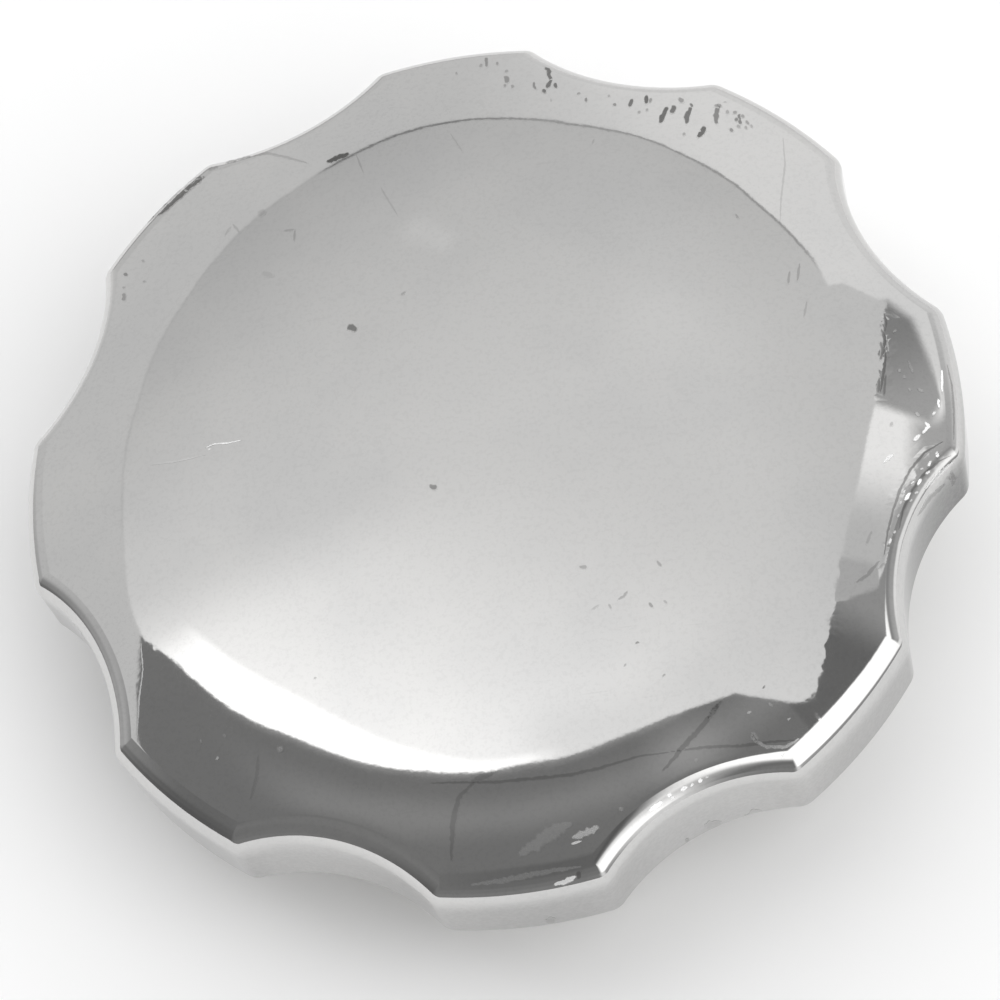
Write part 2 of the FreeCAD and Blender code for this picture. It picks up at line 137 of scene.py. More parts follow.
def camera_frame():
    """The camera's place, and its right, up and back directions with the roll."""
    back, right, up = camera_axes()
    roll = math.radians(CAMERA_ROLL)
    rolled_right = right * math.cos(roll) + up * math.sin(roll)
    rolled_up = up * math.cos(roll) - right * math.sin(roll)
    place = Vector((0, 0, TARGET_HEIGHT)) + back * CAMERA_DISTANCE
    return place, rolled_right, rolled_up, back


def make_camera():
    place, right, up, back = camera_frame()
    data = bpy.data.cameras.new("photo_camera")
    data.lens = CAMERA_LENS
    data.sensor_width = SENSOR
    data.shift_x = (PHOTO_SIZE / 2 - TARGET_PX[0]) / PHOTO_SIZE
    data.shift_y = (TARGET_PX[1] - PHOTO_SIZE / 2) / PHOTO_SIZE
    data.clip_start, data.clip_end = CLIP
    camera = bpy.data.objects.new("photo_camera", data)
    bpy.context.collection.objects.link(camera)
    camera.location = place
    camera.rotation_mode = "QUATERNION"
    camera.rotation_quaternion = Matrix((right, up, back)).transposed().to_quaternion()
    bpy.context.scene.camera = camera


def photo_ray(px, py):
    """The camera's place, and its direction through a pixel of the photograph."""
    place, right, up, back = camera_frame()
    focal = CAMERA_LENS / SENSOR * PHOTO_SIZE
    ray = right * (px - TARGET_PX[0]) / focal - up * (py - TARGET_PX[1]) / focal - back
    return place, ray.normalized()


# Node helpers

def feed(value, socket):
    """Link a field to a socket, or set the socket's value."""
    if isinstance(value, Field):
        value.tree.links.new(value.socket, socket)
    else:
        socket.default_value = value


class Field:
    """What a socket gives all over a surface. Fields are added and multiplied as numbers are."""

    def __init__(self, socket):
        self.socket = socket
        self.tree = socket.id_data

    def node(self, kind, inputs, output=0, **settings):
        """An output of a new node in the same tree. Inputs and outputs are named or numbered."""
        node = self.tree.nodes.new("ShaderNode" + kind)
        for name, value in settings.items():
            setattr(node, name, value)
        for name, value in inputs.items():
            feed(value, node.inputs[name])
        return Field(node.outputs[output])

    def calc(self, operation, *others):
        return self.node("Math", dict(enumerate((self, *others))), operation=operation)

    def __add__(self, other):
        return self.calc("ADD", other)

    def __sub__(self, other):
        return self.calc("SUBTRACT", other)

    def __mul__(self, other):
        return self.calc("MULTIPLY", other)

    def __abs__(self):
        return self.calc("ABSOLUTE")

    def larger(self, other):
        return self.calc("MAXIMUM", other)

    def line(self, slope, start):
        """The field times slope, plus start."""
        return self.calc("MULTIPLY_ADD", slope, start)

    def ramp(self, low, high, out_low=0.0, out_high=1.0):
        """A smooth step from out_low at low to out_high at high."""
        ends = {"From Min": low, "From Max": high, "To Min": out_low, "To Max": out_high}
        return self.node("MapRange", {"Value": self, **ends}, interpolation_type="SMOOTHSTEP")

    def mix(self, a, b):
        """a where the field is 0 and b where it is 1. They are values or colours.

        A Mix node has sockets of one name for each kind, so they are told by identifier.
        """
        kind = "Color" if is_colour(a) or is_colour(b) else "Float"
        node = self.tree.nodes.new("ShaderNodeMix")
        node.data_type = "RGBA" if kind == "Color" else "FLOAT"
        sockets = {socket.identifier: socket for socket in (*node.inputs, *node.outputs)}
        feed(self, sockets["Factor_Float"])
        for letter, value in (("A_", a), ("B_", b)):
            feed((*value, 1.0) if isinstance(value, tuple) else value, sockets[letter + kind])
        return Field(sockets["Result_" + kind])

    def dot(self, direction):
        pair = {0: self, 1: direction}
        return self.node("VectorMath", pair, "Value", operation="DOT_PRODUCT")

    def stretched(self, scale, turn=0.0):
        turned = (0, 0, math.radians(turn))
        return self.node("Mapping", {"Vector": self, "Scale": scale, "Rotation": turned})

    def noise(self, scale, detail, roughness):
        looks = {"Scale": scale, "Detail": detail, "Roughness": roughness}
        return self.node("TexNoise", {"Vector": self, **looks}, "Fac")

    def strands(self, runs, across, roughness):
        """The strongest of several noises, each drawn out along a direction of its own.

        A run has its turn in degrees and its scale along it; across has the two scales across.
        """
        strongest = None
        for turn, along in runs:
            drawn = self.stretched((along, *across), turn)
            strand = drawn.noise(scale=1.0, detail=2.0, roughness=roughness)
            strongest = strongest.larger(strand) if strongest else strand
        return strongest

    def bump(self, distance, strength, normal=None):
        """Shading normals for this height, on top of others."""
        inputs = {"Strength": strength, "Distance": distance, "Height": self}
        if normal:
            inputs["Normal"] = normal
        return self.node("Bump", inputs)

    def attribute(self, name):
        """The mesh's own value of that name."""
        return self.node("Attribute", {}, "Fac", attribute_name=name)

    def parts(self):
        """The three coordinates of a place."""
        node = self.tree.nodes.new("ShaderNodeSeparateXYZ")
        feed(self, node.inputs["Vector"])
        return [Field(output) for output in node.outputs]

    def rings(self, scale):
        """A noise drawn out round the cap's axis."""
        x, y, z = self.parts()
        places = {"X": distance(x, y), "Y": x * RING_WANDER, "Z": y.line(RING_WANDER, z)}
        drawn = self.node("CombineXYZ", places).stretched(scale)
        return drawn.noise(scale=1.0, detail=2.0, roughness=0.6)

    def edges(self, width):
        """1 on a sharp edge, and 0 further from it than the width."""
        rounded = self.node("Bevel", {"Radius": width}, samples=4)
        flat = self.node("NewGeometry", {}, "Normal")
        return rounded.dot(flat).ramp(0.8, 0.97, out_low=1.0, out_high=0.0)

    def corners(self, reach):
        """1 in a corner or a gap, as ambient occlusion finds it, and 0 on an open face."""
        shade = self.node("AmbientOcclusion", {"Distance": reach}, "AO", samples=4)
        return shade.ramp(0.35, 0.85, out_low=1.0, out_high=0.0)


def is_colour(value):
    return isinstance(value, tuple) or isinstance(value, Field) and value.socket.type == "RGBA"


def distance(x, y):
    """How far a place is from where both its coordinates are 0."""
    return x.calc("MULTIPLY_ADD", x, y * y).calc("SQRT")


def surface(name, metallic, roughness=0.5):
    """A new material, its shader's inputs and the object's own coordinates."""
    material = bpy.data.materials.new(name)
    material.use_nodes = True
    nodes = material.node_tree.nodes
    shader = nodes["Principled BSDF"].inputs
    shader["Metallic"].default_value = metallic
    shader["Roughness"].default_value = roughness
    return material, shader, Field(nodes.new("ShaderNodeTexCoord").outputs["Object"])


# Materials

RING_WANDER = 0.02       # how fast a pattern round the axis changes along its rings
CHROME = (0.628, 0.624, 0.616)
HAZY_CHROME = (0.59, 0.588, 0.584)
# Dark tone of the mottle and of the painted shade on the skirt
MOTTLE_AND_SHADE_DARK = (0.03, 0.03, 0.03)
# Dark of the pits and scratches, and of the painted dark reflections
PIT_AND_DARK_REFLECTION_CHROME = (0.075, 0.073, 0.07)
# White of the scuffs and of the painted highlights
SCUFF_AND_HIGHLIGHT_WHITE = (0.95, 0.95, 0.95)
# Directions in degrees and scales of the hairline scratches and of the felt's fibres
HAIRLINES = ((20, 120), (-35, 90))
FIBRES = ((15, 400), (75, 350), (-40, 450))
RUST = (0.2, 0.085, 0.035)
NECK_RING_R = 26.6 * MM


def chrome():
    """Old chrome: a thin haze, mottle, hairline scratches, blisters and the marks laid on it, with
    painted shade on the skirt and painted highlights and painted dark reflections among the marks.
    """
    material, shader, coords = surface("cover_chrome", metallic=1.0)
    haze = coords.noise(scale=55, detail=4.0, roughness=0.6)
    grain = coords.noise(scale=2600, detail=2.0, roughness=0.6)
    mottle = coords.noise(scale=2400, detail=3.0, roughness=0.75)
    ragged = grain.line(slope=0.9, start=0.5)
    profile = (coords.attribute("mark") * ragged).ramp(low=0.08, high=0.8)
    # Light marks: scuffs, and painted highlights along the shoulder, white and not metallic
    light = profile * coords.attribute("light")
    hairlines = coords.strands(HAIRLINES, across=(3200, 300), roughness=0.55)
    hairlines = hairlines.ramp(low=0.72, high=0.8, out_high=0.05)
    # Pits, scratches and hairlines, and painted dark reflections along the shoulder
    worn = (profile * coords.attribute("dark")).larger(hairlines)

    # Mottle, and painted shade that darkens the skirt's reflection
    mottle_and_skirt_shade = mottle.ramp(low=0.35, high=0.65, out_low=-0.045, out_high=0.045)
    mottle_and_skirt_shade += coords.attribute("mottle_and_skirt_shade")
    colour = haze.ramp(low=0.35, high=0.7).mix(CHROME, HAZY_CHROME)
    colour = worn.mix(mottle_and_skirt_shade.mix(colour, MOTTLE_AND_SHADE_DARK), PIT_AND_DARK_REFLECTION_CHROME)
    feed(light.mix(colour, SCUFF_AND_HIGHLIGHT_WHITE), shader["Base Color"])
    feed(light.line(slope=-1.0, start=1.0), shader["Metallic"])
    rough = haze.mix(0.012, 0.035)
    rough = worn.ramp(low=0.45, high=0.9).mix(rough, 0.6)
    feed(light.mix(rough, 0.5), shader["Roughness"])

    waves = coords.noise(scale=90, detail=1.0, roughness=0.4)
    ripples = coords.noise(scale=700, detail=3.0, roughness=0.55)
    lumps = coords.noise(scale=1100, detail=1.0, roughness=0.5) * coords.attribute("blisters")
    pits = worn.ramp(low=0.5, high=0.9, out_high=-1.0)
    normal = waves.bump(distance=0.12 * MM, strength=0.25)
    normal = ripples.bump(distance=0.002 * MM, strength=0.4, normal=normal)
    normal = lumps.bump(distance=0.05 * MM, strength=0.6, normal=normal)
    normal = pits.bump(distance=0.04 * MM, strength=0.5, normal=normal)
    feed(normal, shader["Normal"])
    return material


def metal(name, clean, dull, tarnish, bare, rough, line_depth, rust):
    """Plated or bare metal: clouds, drawing or turning lines, worn edges, dirt and rust."""
    material, shader, coords = surface(name, metallic=1.0)
    clouds = coords.noise(scale=110, detail=4.0, roughness=0.6)
    grain = coords.noise(scale=2400, detail=3.0, roughness=0.6)
    lines = coords.rings((7000, 500, 7000))
    dirt = coords.corners(reach=2.5 * MM) * grain.ramp(low=0.2, high=0.6, out_low=0.4)
    edge = coords.edges(width=0.3 * MM) * clouds.ramp(low=0.4, high=0.55, out_low=0.3)
    specks = coords.noise(scale=800, detail=4.0, roughness=0.65) + dirt * 0.06
    specks = specks.ramp(low=0.82 - 0.2 * rust, high=0.88 - 0.2 * rust)

    colour = clouds.ramp(low=0.35, high=0.68).mix(clean, dull)
    colour = lines.ramp(low=0.5, high=0.75, out_high=0.45).mix(colour, tarnish)
    colour = (dirt * 0.75).mix(colour, tarnish)
    feed(specks.mix(edge.mix(colour, bare), RUST), shader["Base Color"])
    feed(specks.line(slope=-0.9, start=1.0), shader["Metallic"])
    shine = clouds.ramp(low=0.3, high=0.7).mix(*rough)
    shine = grain.ramp(low=0.4, high=0.8, out_high=0.4).mix(shine, 0.6)
    shine = specks.larger(dirt * 0.6).mix(edge.mix(shine, 0.24), 0.8)
    feed(shine, shader["Roughness"])
    normal = lines.bump(distance=line_depth, strength=0.6)
    normal = grain.bump(distance=0.02 * MM, strength=0.5, normal=normal)
    feed(specks.bump(distance=0.04 * MM, strength=0.8, normal=normal), shader["Normal"])
    return material


def rubber():
    """Black rubber with a grey bloom, grit, and the ring that the neck has pressed into it."""
    material, shader, coords = surface("seal_rubber", metallic=0.0)
    x, y, z = coords.parts()
    bloom = coords.noise(scale=140, detail=4.0, roughness=0.65)
    grain = coords.noise(scale=3000, detail=3.0, roughness=0.6)
    pressed = abs(distance(x, y) - NECK_RING_R)
    pressed = pressed.ramp(low=0.8 * MM, high=1.3 * MM, out_low=1.0, out_high=0.0)
    colour = bloom.ramp(low=0.42, high=0.75).mix((0.026, 0.026, 0.028), (0.075, 0.073, 0.07))
    colour = (pressed * 0.7).mix(colour, (0.018, 0.018, 0.019))
    colour = (coords.edges(width=0.3 * MM) * 0.5).mix(colour, (0.11, 0.108, 0.1))
    colour = (coords.corners(reach=2.0 * MM) * 0.5).mix(colour, (0.1, 0.085, 0.065))
    feed(colour, shader["Base Color"])
    feed((pressed * 0.6).mix(bloom.mix(0.62, 0.9), 0.4), shader["Roughness"])
    shader["Specular IOR Level"].default_value = 0.35
    normal = grain.bump(distance=0.03 * MM, strength=0.5)
    normal = (pressed * -1.0).bump(distance=0.15 * MM, strength=0.8, normal=normal)
    feed(normal, shader["Normal"])
    return material


def nylon():
    """Natural nylon, yellowed in patches, with fine marks from turning under the spring."""
    material, shader, coords = surface("washer_plastic", metallic=0.0)
    patches = coords.noise(scale=120, detail=3.0, roughness=0.6)
    grain = coords.noise(scale=2500, detail=2.0, roughness=0.6)
    rings = coords.rings((5000, 300, 5000))
    colour = patches.ramp(low=0.35, high=0.7).mix((0.8, 0.78, 0.71), (0.72, 0.66, 0.5))
    colour = rings.ramp(low=0.55, high=0.75, out_high=0.4).mix(colour, (0.55, 0.5, 0.4))
    # Darker in corners and gaps
    colour = (coords.corners(reach=2.0 * MM) * 0.5).mix(colour, (0.3, 0.26, 0.2))
    feed(colour, shader["Base Color"])
    feed(rings.mix(0.35, 0.62), shader["Roughness"])
    normal = rings.bump(distance=0.03 * MM, strength=0.6)
    feed(grain.bump(distance=0.02 * MM, strength=0.4, normal=normal), shader["Normal"])
    return material


def felt():
    """Grey felt of crossing fibres, darker where dust has settled."""
    material, shader, coords = surface("filter_felt", metallic=0.0, roughness=1.0)
    fibres = coords.strands(FIBRES, across=(4200, 2500), roughness=0.6)
    dust = coords.noise(scale=130, detail=4.0, roughness=0.6)
    colour = fibres.ramp(low=0.45, high=0.7).mix((0.36, 0.34, 0.31), (0.6, 0.58, 0.53))
    colour = dust.ramp(low=0.5, high=0.75, out_high=0.6).mix(colour, (0.26, 0.22, 0.17))
    feed(colour, shader["Base Color"])
    shader["Sheen Weight"].default_value = 0.3
    feed(fibres.bump(distance=0.15 * MM, strength=0.8), shader["Normal"])
    return material


METALS = {
    "plated_steel": {
        "clean": (0.68, 0.665, 0.61), "dull": (0.58, 0.56, 0.48), "tarnish": (0.3, 0.28, 0.23),
        "bare": (0.72, 0.7, 0.67), "rough": (0.24, 0.46), "line_depth": 0.01 * MM, "rust": 0.55,
    },
    "rivet_steel": {
        "clean": (0.6, 0.59, 0.57), "dull": (0.5, 0.48, 0.45), "tarnish": (0.26, 0.23, 0.2),
        "bare": (0.7, 0.69, 0.67), "rough": (0.26, 0.5), "line_depth": 0.01 * MM, "rust": 0.9,
    },
    "spring_steel": {
        "clean": (0.4, 0.4, 0.41), "dull": (0.3, 0.29, 0.29), "tarnish": (0.14, 0.12, 0.11),
        "bare": (0.55, 0.54, 0.53), "rough": (0.28, 0.42), "line_depth": 0.02 * MM, "rust": 0.6,
    },
    "turned_brass": {
        "clean": (0.74, 0.59, 0.3), "dull": (0.6, 0.44, 0.2), "tarnish": (0.3, 0.19, 0.08),
        "bare": (0.82, 0.7, 0.42), "rough": (0.2, 0.38), "line_depth": 0.03 * MM, "rust": 0.0,
    },
}


# Cover mesh

def polar(radius, angle):
    return Vector((math.cos(angle), math.sin(angle), 0)) * radius


def heading(vector):
    return math.atan2(vector.y, vector.x)


def wrapped(angle):
    """The same angle between minus half a turn and half a turn."""
    return (angle + math.pi) % (2 * math.pi) - math.pi


def arc_points(centre, radius, start, sweep, steps, outward):
    """Points of an arc without its last one, each with the outline's outward normal."""
    points = []
    for i in range(steps):
        ray = polar(1, start + sweep * i / steps)
        points.append((centre + ray * radius, ray * outward))
    return points


def lobed_outline(inset, corner):
    """The cover's outline, moved in by inset, as points with outward normals."""
    pitch = 2 * math.pi / LOBES
    lobe_r = LOBE_R - inset
    scallop_r = SCALLOP_R + inset
    to_corner = lobe_r - corner
    reach = scallop_r + corner
    squares = to_corner ** 2 + SCALLOP_PLACE_R ** 2 - reach ** 2
    half = math.acos(squares / (2 * to_corner * SCALLOP_PLACE_R))
    points = []
    for i in range(LOBES):
        middle = (i + 0.5) * pitch
        scallop = polar(SCALLOP_PLACE_R, middle)
        first = polar(to_corner, middle - half)
        second = polar(to_corner, middle + half)
        tilt_first = heading(scallop - first)
        tilt_second = heading(scallop - second)
        from_first = wrapped(tilt_first + math.pi - middle)
        from_second = wrapped(tilt_second + math.pi - middle)
        arcs = (
            (first, corner, middle - half, tilt_first - middle + half, CORNER_STEPS, 1),
            (scallop, scallop_r, middle + from_first, from_second - from_first, SCALLOP_STEPS, -1),
            (second, corner, tilt_second, middle + half - tilt_second, CORNER_STEPS, 1),
            (Vector((0, 0, 0)), lobe_r, middle + half, pitch - 2 * half, LOBE_STEPS, 1),
        )
        for centre, radius, start, sweep, steps, outward in arcs:
            points += arc_points(centre, radius, start, wrapped(sweep), steps, outward)
    return points


def sphere_top(foot, radius):
    """The point over a foot on a sphere round the dome's centre."""
    return Vector((foot.x, foot.y, DOME_CENTRE.z + math.sqrt(radius ** 2 - foot.length_squared)))


def dome_rings(tilts, normals, bends):
    shares = [k / DOME_RINGS for k in range(1, DOME_RINGS)] + list(SOFT_SHARES) + [1.0]
    rings = []
    for share in sorted(shares):
        begun = (max(share - SOFT_START, 0.0) / (1.0 - SOFT_START)) ** 2
        ring = []
        for tilt, normal, bend in zip(tilts, normals, bends):
            point = sphere_top(Vector((tilt.x, tilt.y, 0)) * DOME_R * share, DOME_R)
            ring.append((point, ((point - DOME_CENTRE) / DOME_R).slerp(normal, bend * begun)))
        rings.append(ring)
    return rings


def rounded_ring(centres, starts, ends, radius, share):
    """A ring of a rounded edge, a share of the way from its start to its end."""
    rays = [start.slerp(end, share) for start, end in zip(starts, ends)]
    return [(centre + ray * radius, ray) for centre, ray in zip(centres, rays)]


def cover_rings():
    """Rings of points with normals, from the dome's top to the hem and back inside.

    A normal of zero length is left to the mesh's own shading.
    """
    outline = lobed_outline(0.0, CORNER_R)
    hem = lobed_outline(COVER_WALL + HEM_W, HEM_CORNER_R)
    inside = lobed_outline(COVER_WALL, CORNER_R - COVER_WALL)
    normals = [normal for point, normal in outline]
    inward = [-normal for point, normal in hem]
    down = [Vector((0, 0, -1))] * len(outline)
    roll_top, edge_top, hem_top = (
        Vector((0, 0, SKIRT_Z + height)) for height in (ROLL_R, HEM_EDGE_R, COVER_WALL)
    )
    roll = [point - normal * ROLL_R + roll_top for point, normal in outline]
    edge = [point + normal * HEM_EDGE_R + edge_top for point, normal in hem]
    centres = [sphere_top(p - normal * SHOULDER_R, DOME_R - SHOULDER_R) for p, normal in outline]
    tilts = [(centre - DOME_CENTRE).normalized() for centre in centres]
    bends = []
    for point, normal in outline:
        facing = max(math.cos(heading(point) - SOFT_SIDE), 0.0)
        bends.append(SOFT_BEND[0] + (SOFT_BEND[1] - SOFT_BEND[0]) * facing ** 3)

    rings = dome_rings(tilts, normals, bends)
    for k in range(1, SHOULDER_RINGS + 1):
        share = k / SHOULDER_RINGS
        ring = rounded_ring(centres, tilts, normals, SHOULDER_R, share)
        for i, (tilt, normal, bend) in enumerate(zip(tilts, normals, bends)):
            ring[i] = (ring[i][0], tilt.slerp(normal, bend + (1 - bend) * share))
        rings.append(ring)
    for k in range(1, WALL_RINGS + 1):
        ring = []
        for (point, normal), centre in zip(outline, centres):
            height = centre.z + (roll_top.z - centre.z) * k / WALL_RINGS
            ring.append((Vector((point.x, point.y, height)), normal))
        rings.append(ring)
    for k in range(1, ROLL_RINGS + 1):
        rings.append(rounded_ring(roll, normals, down, ROLL_R, k / ROLL_RINGS))
    for k in range(EDGE_RINGS + 1):
        rings.append(rounded_ring(edge, down, inward, HEM_EDGE_R, k / EDGE_RINGS))
    hollow = [[point + hem_top for point, normal in side] for side in (hem, inside)]
    for share in INSIDE_SHARES:
        hollow.append([sphere_top(point * share, DOME_R - COVER_WALL) for point, normal in inside])
    return rings + [[(point, Vector((0, 0, 0))) for point in ring] for ring in hollow]


def cover_shape():
    """Vertices, their normals and faces of the cover."""
    rings = cover_rings()
    count = len(rings[0])
    vertices = [Vector((0, 0, APEX_Z))]
    normals = [Vector((0, 0, 1))]
    for ring in rings:
        vertices += [point for point, normal in ring]
        normals += [normal for point, normal in ring]
    vertices.append(Vector((0, 0, APEX_Z - COVER_WALL)))
    normals.append(Vector((0, 0, 0)))
    last = len(vertices) - 1
    end = last - count
    faces = []
    for i in range(count):
        j = (i + 1) % count
        faces.append((0, 1 + i, 1 + j))
        for k in range(len(rings) - 1):
            a = 1 + k * count
            b = a + count
            faces.append((a + i, b + i, b + j, a + j))
        faces.append((last, end + j, end + i))
    return vertices, normals, faces


def smooth_object(name, vertices, normals, faces, material):
    """A new object with the given shading normals; a zero one is worked out."""
    mesh = bpy.data.meshes.new(name)
    mesh.from_pydata(vertices, [], faces)
    mesh.update()
    mesh.shade_smooth()
    mesh.set_sharp_from_angle(angle=SHARP_ANGLE)
    mesh.normals_split_custom_set_from_vertices(normals)
    mesh.materials.append(material)
    item = bpy.data.objects.new(name, mesh)
    bpy.context.collection.objects.link(item)
    return item


def set_attribute(mesh, name, values):
    mesh.attributes.new(name, "FLOAT", "POINT").data.foreach_set("value", values)


class CoverSurface:
    """The cover as the camera sees it."""

    def __init__(self, *shape):
        self.vertices, self.normals, self.faces = shape
        self.tree = BVHTree.FromPolygons(self.vertices, self.faces)

    def hit(self, px, py, lift=0.0):
        """The point over a pixel of the photograph and the cover's normal there, or None."""
        point, flat, index, depth = self.tree.ray_cast(*photo_ray(px, py))
        if point is None:
            return None
        normal = Vector((0, 0, 0))
        for i in self.faces[index]:
            normal += self.normals[i] / ((self.vertices[i] - point).length_squared + 1e-12)
        normal.normalize()
        return point + normal * lift, normal


# Painted shade on the skirt, darkening its reflection: an angle round the axis, how much of the
# shine it takes there, and how high up it starts, in mm
SKIRT_SHADE_STOPS = (
    (-180, 0.35, 19.2), (-150, 0.4, 19.2), (-135, 0.5, 19.2), (-122, 0.2, 19.2), (-112, 0.18, 19.2),
    (-95, 0.28, 19.2), (-84, 0.26, 19.2), (-72, 0.04, 19.2), (-60, 0.04, 19.2), (-50, 0.22, 19.2),
    (-34, 0.35, 19.5), (-24, 0.58, 20.2), (-8, 0.66, 20.2), (6, 0.62, 19.9), (25, 0.4, 19.4),
    (60, 0.2, 19.2), (120, 0.25, 19.2), (180, 0.35, 19.2),
)
SKIRT_SHADE_FADE = 1.4 * MM
SKIRT_SHADE_DOWN = (0.88, 1.12)     # how much of it there is at its top and at the skirt's foot

# Blistered patches of the plate: pixel of the photograph, radius in mm and strength
BLISTERS_PX = (
    (883, 322, 0.7, 0.6), (884, 345, 0.7, 0.9), (881, 368, 0.7, 0.9), (880, 388, 0.7, 0.6),
    (938, 455, 0.9, 1), (920, 480, 1.0, 1), (905, 500, 0.9, 1), (892, 540, 0.8, 1),
    (838, 570, 1.2, 0.12), (834, 600, 1.2, 0.18), (830, 630, 1.2, 0.22), (824, 660, 1.2, 0.2),
    (815, 690, 1.0, 0.1), (148, 648, 1.0, 0.08), (160, 660, 1.2, 0.05), (178, 676, 1.4, 0.04),
    (143, 680, 1.2, 0.1),
)


# How much painted shade darkens the skirt's reflection at a vertex
def skirt_shade_at(vertex):
    angles, levels, tops = zip(*SKIRT_SHADE_STOPS)
    angle = math.degrees(heading(vertex))
    top = np.interp(angle, angles, tops) * MM
    begun = min(max((top - vertex.z) / SKIRT_SHADE_FADE, 0.0), 1.0)
    down = (top - vertex.z) / (top - SKIRT_Z)
    more = SKIRT_SHADE_DOWN[0] + (SKIRT_SHADE_DOWN[1] - SKIRT_SHADE_DOWN[0]) * down
    return np.interp(angle, angles, levels) * begun * more


def blisters_at(vertex, spots):
    if vertex.z <= SKIRT_Z + ROLL_R:
        return 0.0
    return max(
        strength * math.exp(-(vertex - place).length_squared / radius ** 2)
        for place, radius, strength in spots
    )


def make_cover(material):
    vertices, normals, faces = cover_shape()
    cover = smooth_object("cover_shell", vertices, normals, faces, material)
    skin = CoverSurface(vertices, normals, faces)
    spots = [(skin.hit(px, py)[0], size * MM, strength) for px, py, size, strength in BLISTERS_PX]
    set_attribute(cover.data, "blisters", [blisters_at(vertex, spots) for vertex in vertices])
    # Painted shade on the skirt's reflection
    set_attribute(cover.data, "mottle_and_skirt_shade", [skirt_shade_at(vertex) for vertex in vertices])
    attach(cover, "cap")
    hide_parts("cover")
    return skin


# Marks in the plate, and painted highlights and painted dark reflections along the shoulder: the
# width of each in pixels, its strength, and the pixels of the photograph through which its line
# goes, two numbers each

PITS_PX = (
    (3, 0.6, 486, 56, 487, 68), (2.5, 0.4, 481, 63, 481, 68), (2.5, 0.5, 497, 61, 497, 66),
    (2.5, 0.4, 504, 72, 509, 70), (5, 0.6, 507, 75, 506, 84), (2.5, 0.45, 503, 86, 507, 85),
    (3, 0.45, 512, 89, 513, 84), (3, 0.35, 455, 74, 458, 73), (3, 0.65, 534, 81, 534, 87, 537, 90),
    (4, 0.85, 544, 67, 549, 70, 549, 76, 552, 81), (3.5, 0.85, 552, 79, 546, 89),
    (4, 0.85, 541, 91, 547, 91), (4, 0.85, 553, 83, 558, 88), (3, 0.3, 550, 100, 552, 100),
    (3, 0.5, 578, 92, 579, 95), (4, 0.65, 584, 100, 588, 100), (2.5, 0.35, 607, 96, 611, 96),
    (3, 0.65, 612, 105, 617, 104), (3.2, 0.85, 633, 98, 629, 108), (3.6, 0.9, 647, 94, 646, 105),
    (2.4, 0.6, 652, 97, 649, 104), (3, 0.45, 637, 113, 641, 111), (3, 0.45, 645, 110, 649, 110),
    (4.5, 0.9, 668, 106, 664, 114, 659, 124), (5, 0.85, 676, 105, 670, 114),
    (4, 0.6, 678, 97, 684, 103), (4, 0.8, 690, 106, 693, 104),
    (4.5, 0.85, 691, 106, 687, 116, 686, 125), (3, 0.45, 683, 132, 685, 136),
    (4.6, 0.9, 704, 125, 703, 132, 697, 138), (4.5, 0.75, 719, 104, 717, 112, 716, 125),
    (3, 0.55, 713, 106, 723, 106), (3, 0.45, 727, 109, 728, 115), (3.5, 0.65, 729, 128, 734, 132),
    (2.5, 0.35, 725, 101, 725, 103), (3, 0.55, 732, 113, 738, 112), (3.5, 0.75, 735, 117, 738, 122),
    (3.5, 0.75, 740, 113, 739, 120, 742, 125), (3, 0.55, 744, 114, 741, 118),
    (3, 0.55, 745, 120, 750, 125), (3, 0.45, 736, 125, 741, 128), (3, 0.4, 750, 127, 753, 125),
    (2.5, 0.45, 744, 126, 748, 129), (4, 0.65, 125, 272, 126, 277), (4, 0.5, 124, 292, 124, 302),
    (3, 0.3, 143, 259, 143, 263), (3, 0.3, 144, 280, 144, 283), (3, 0.3, 124, 286, 124, 289),
)
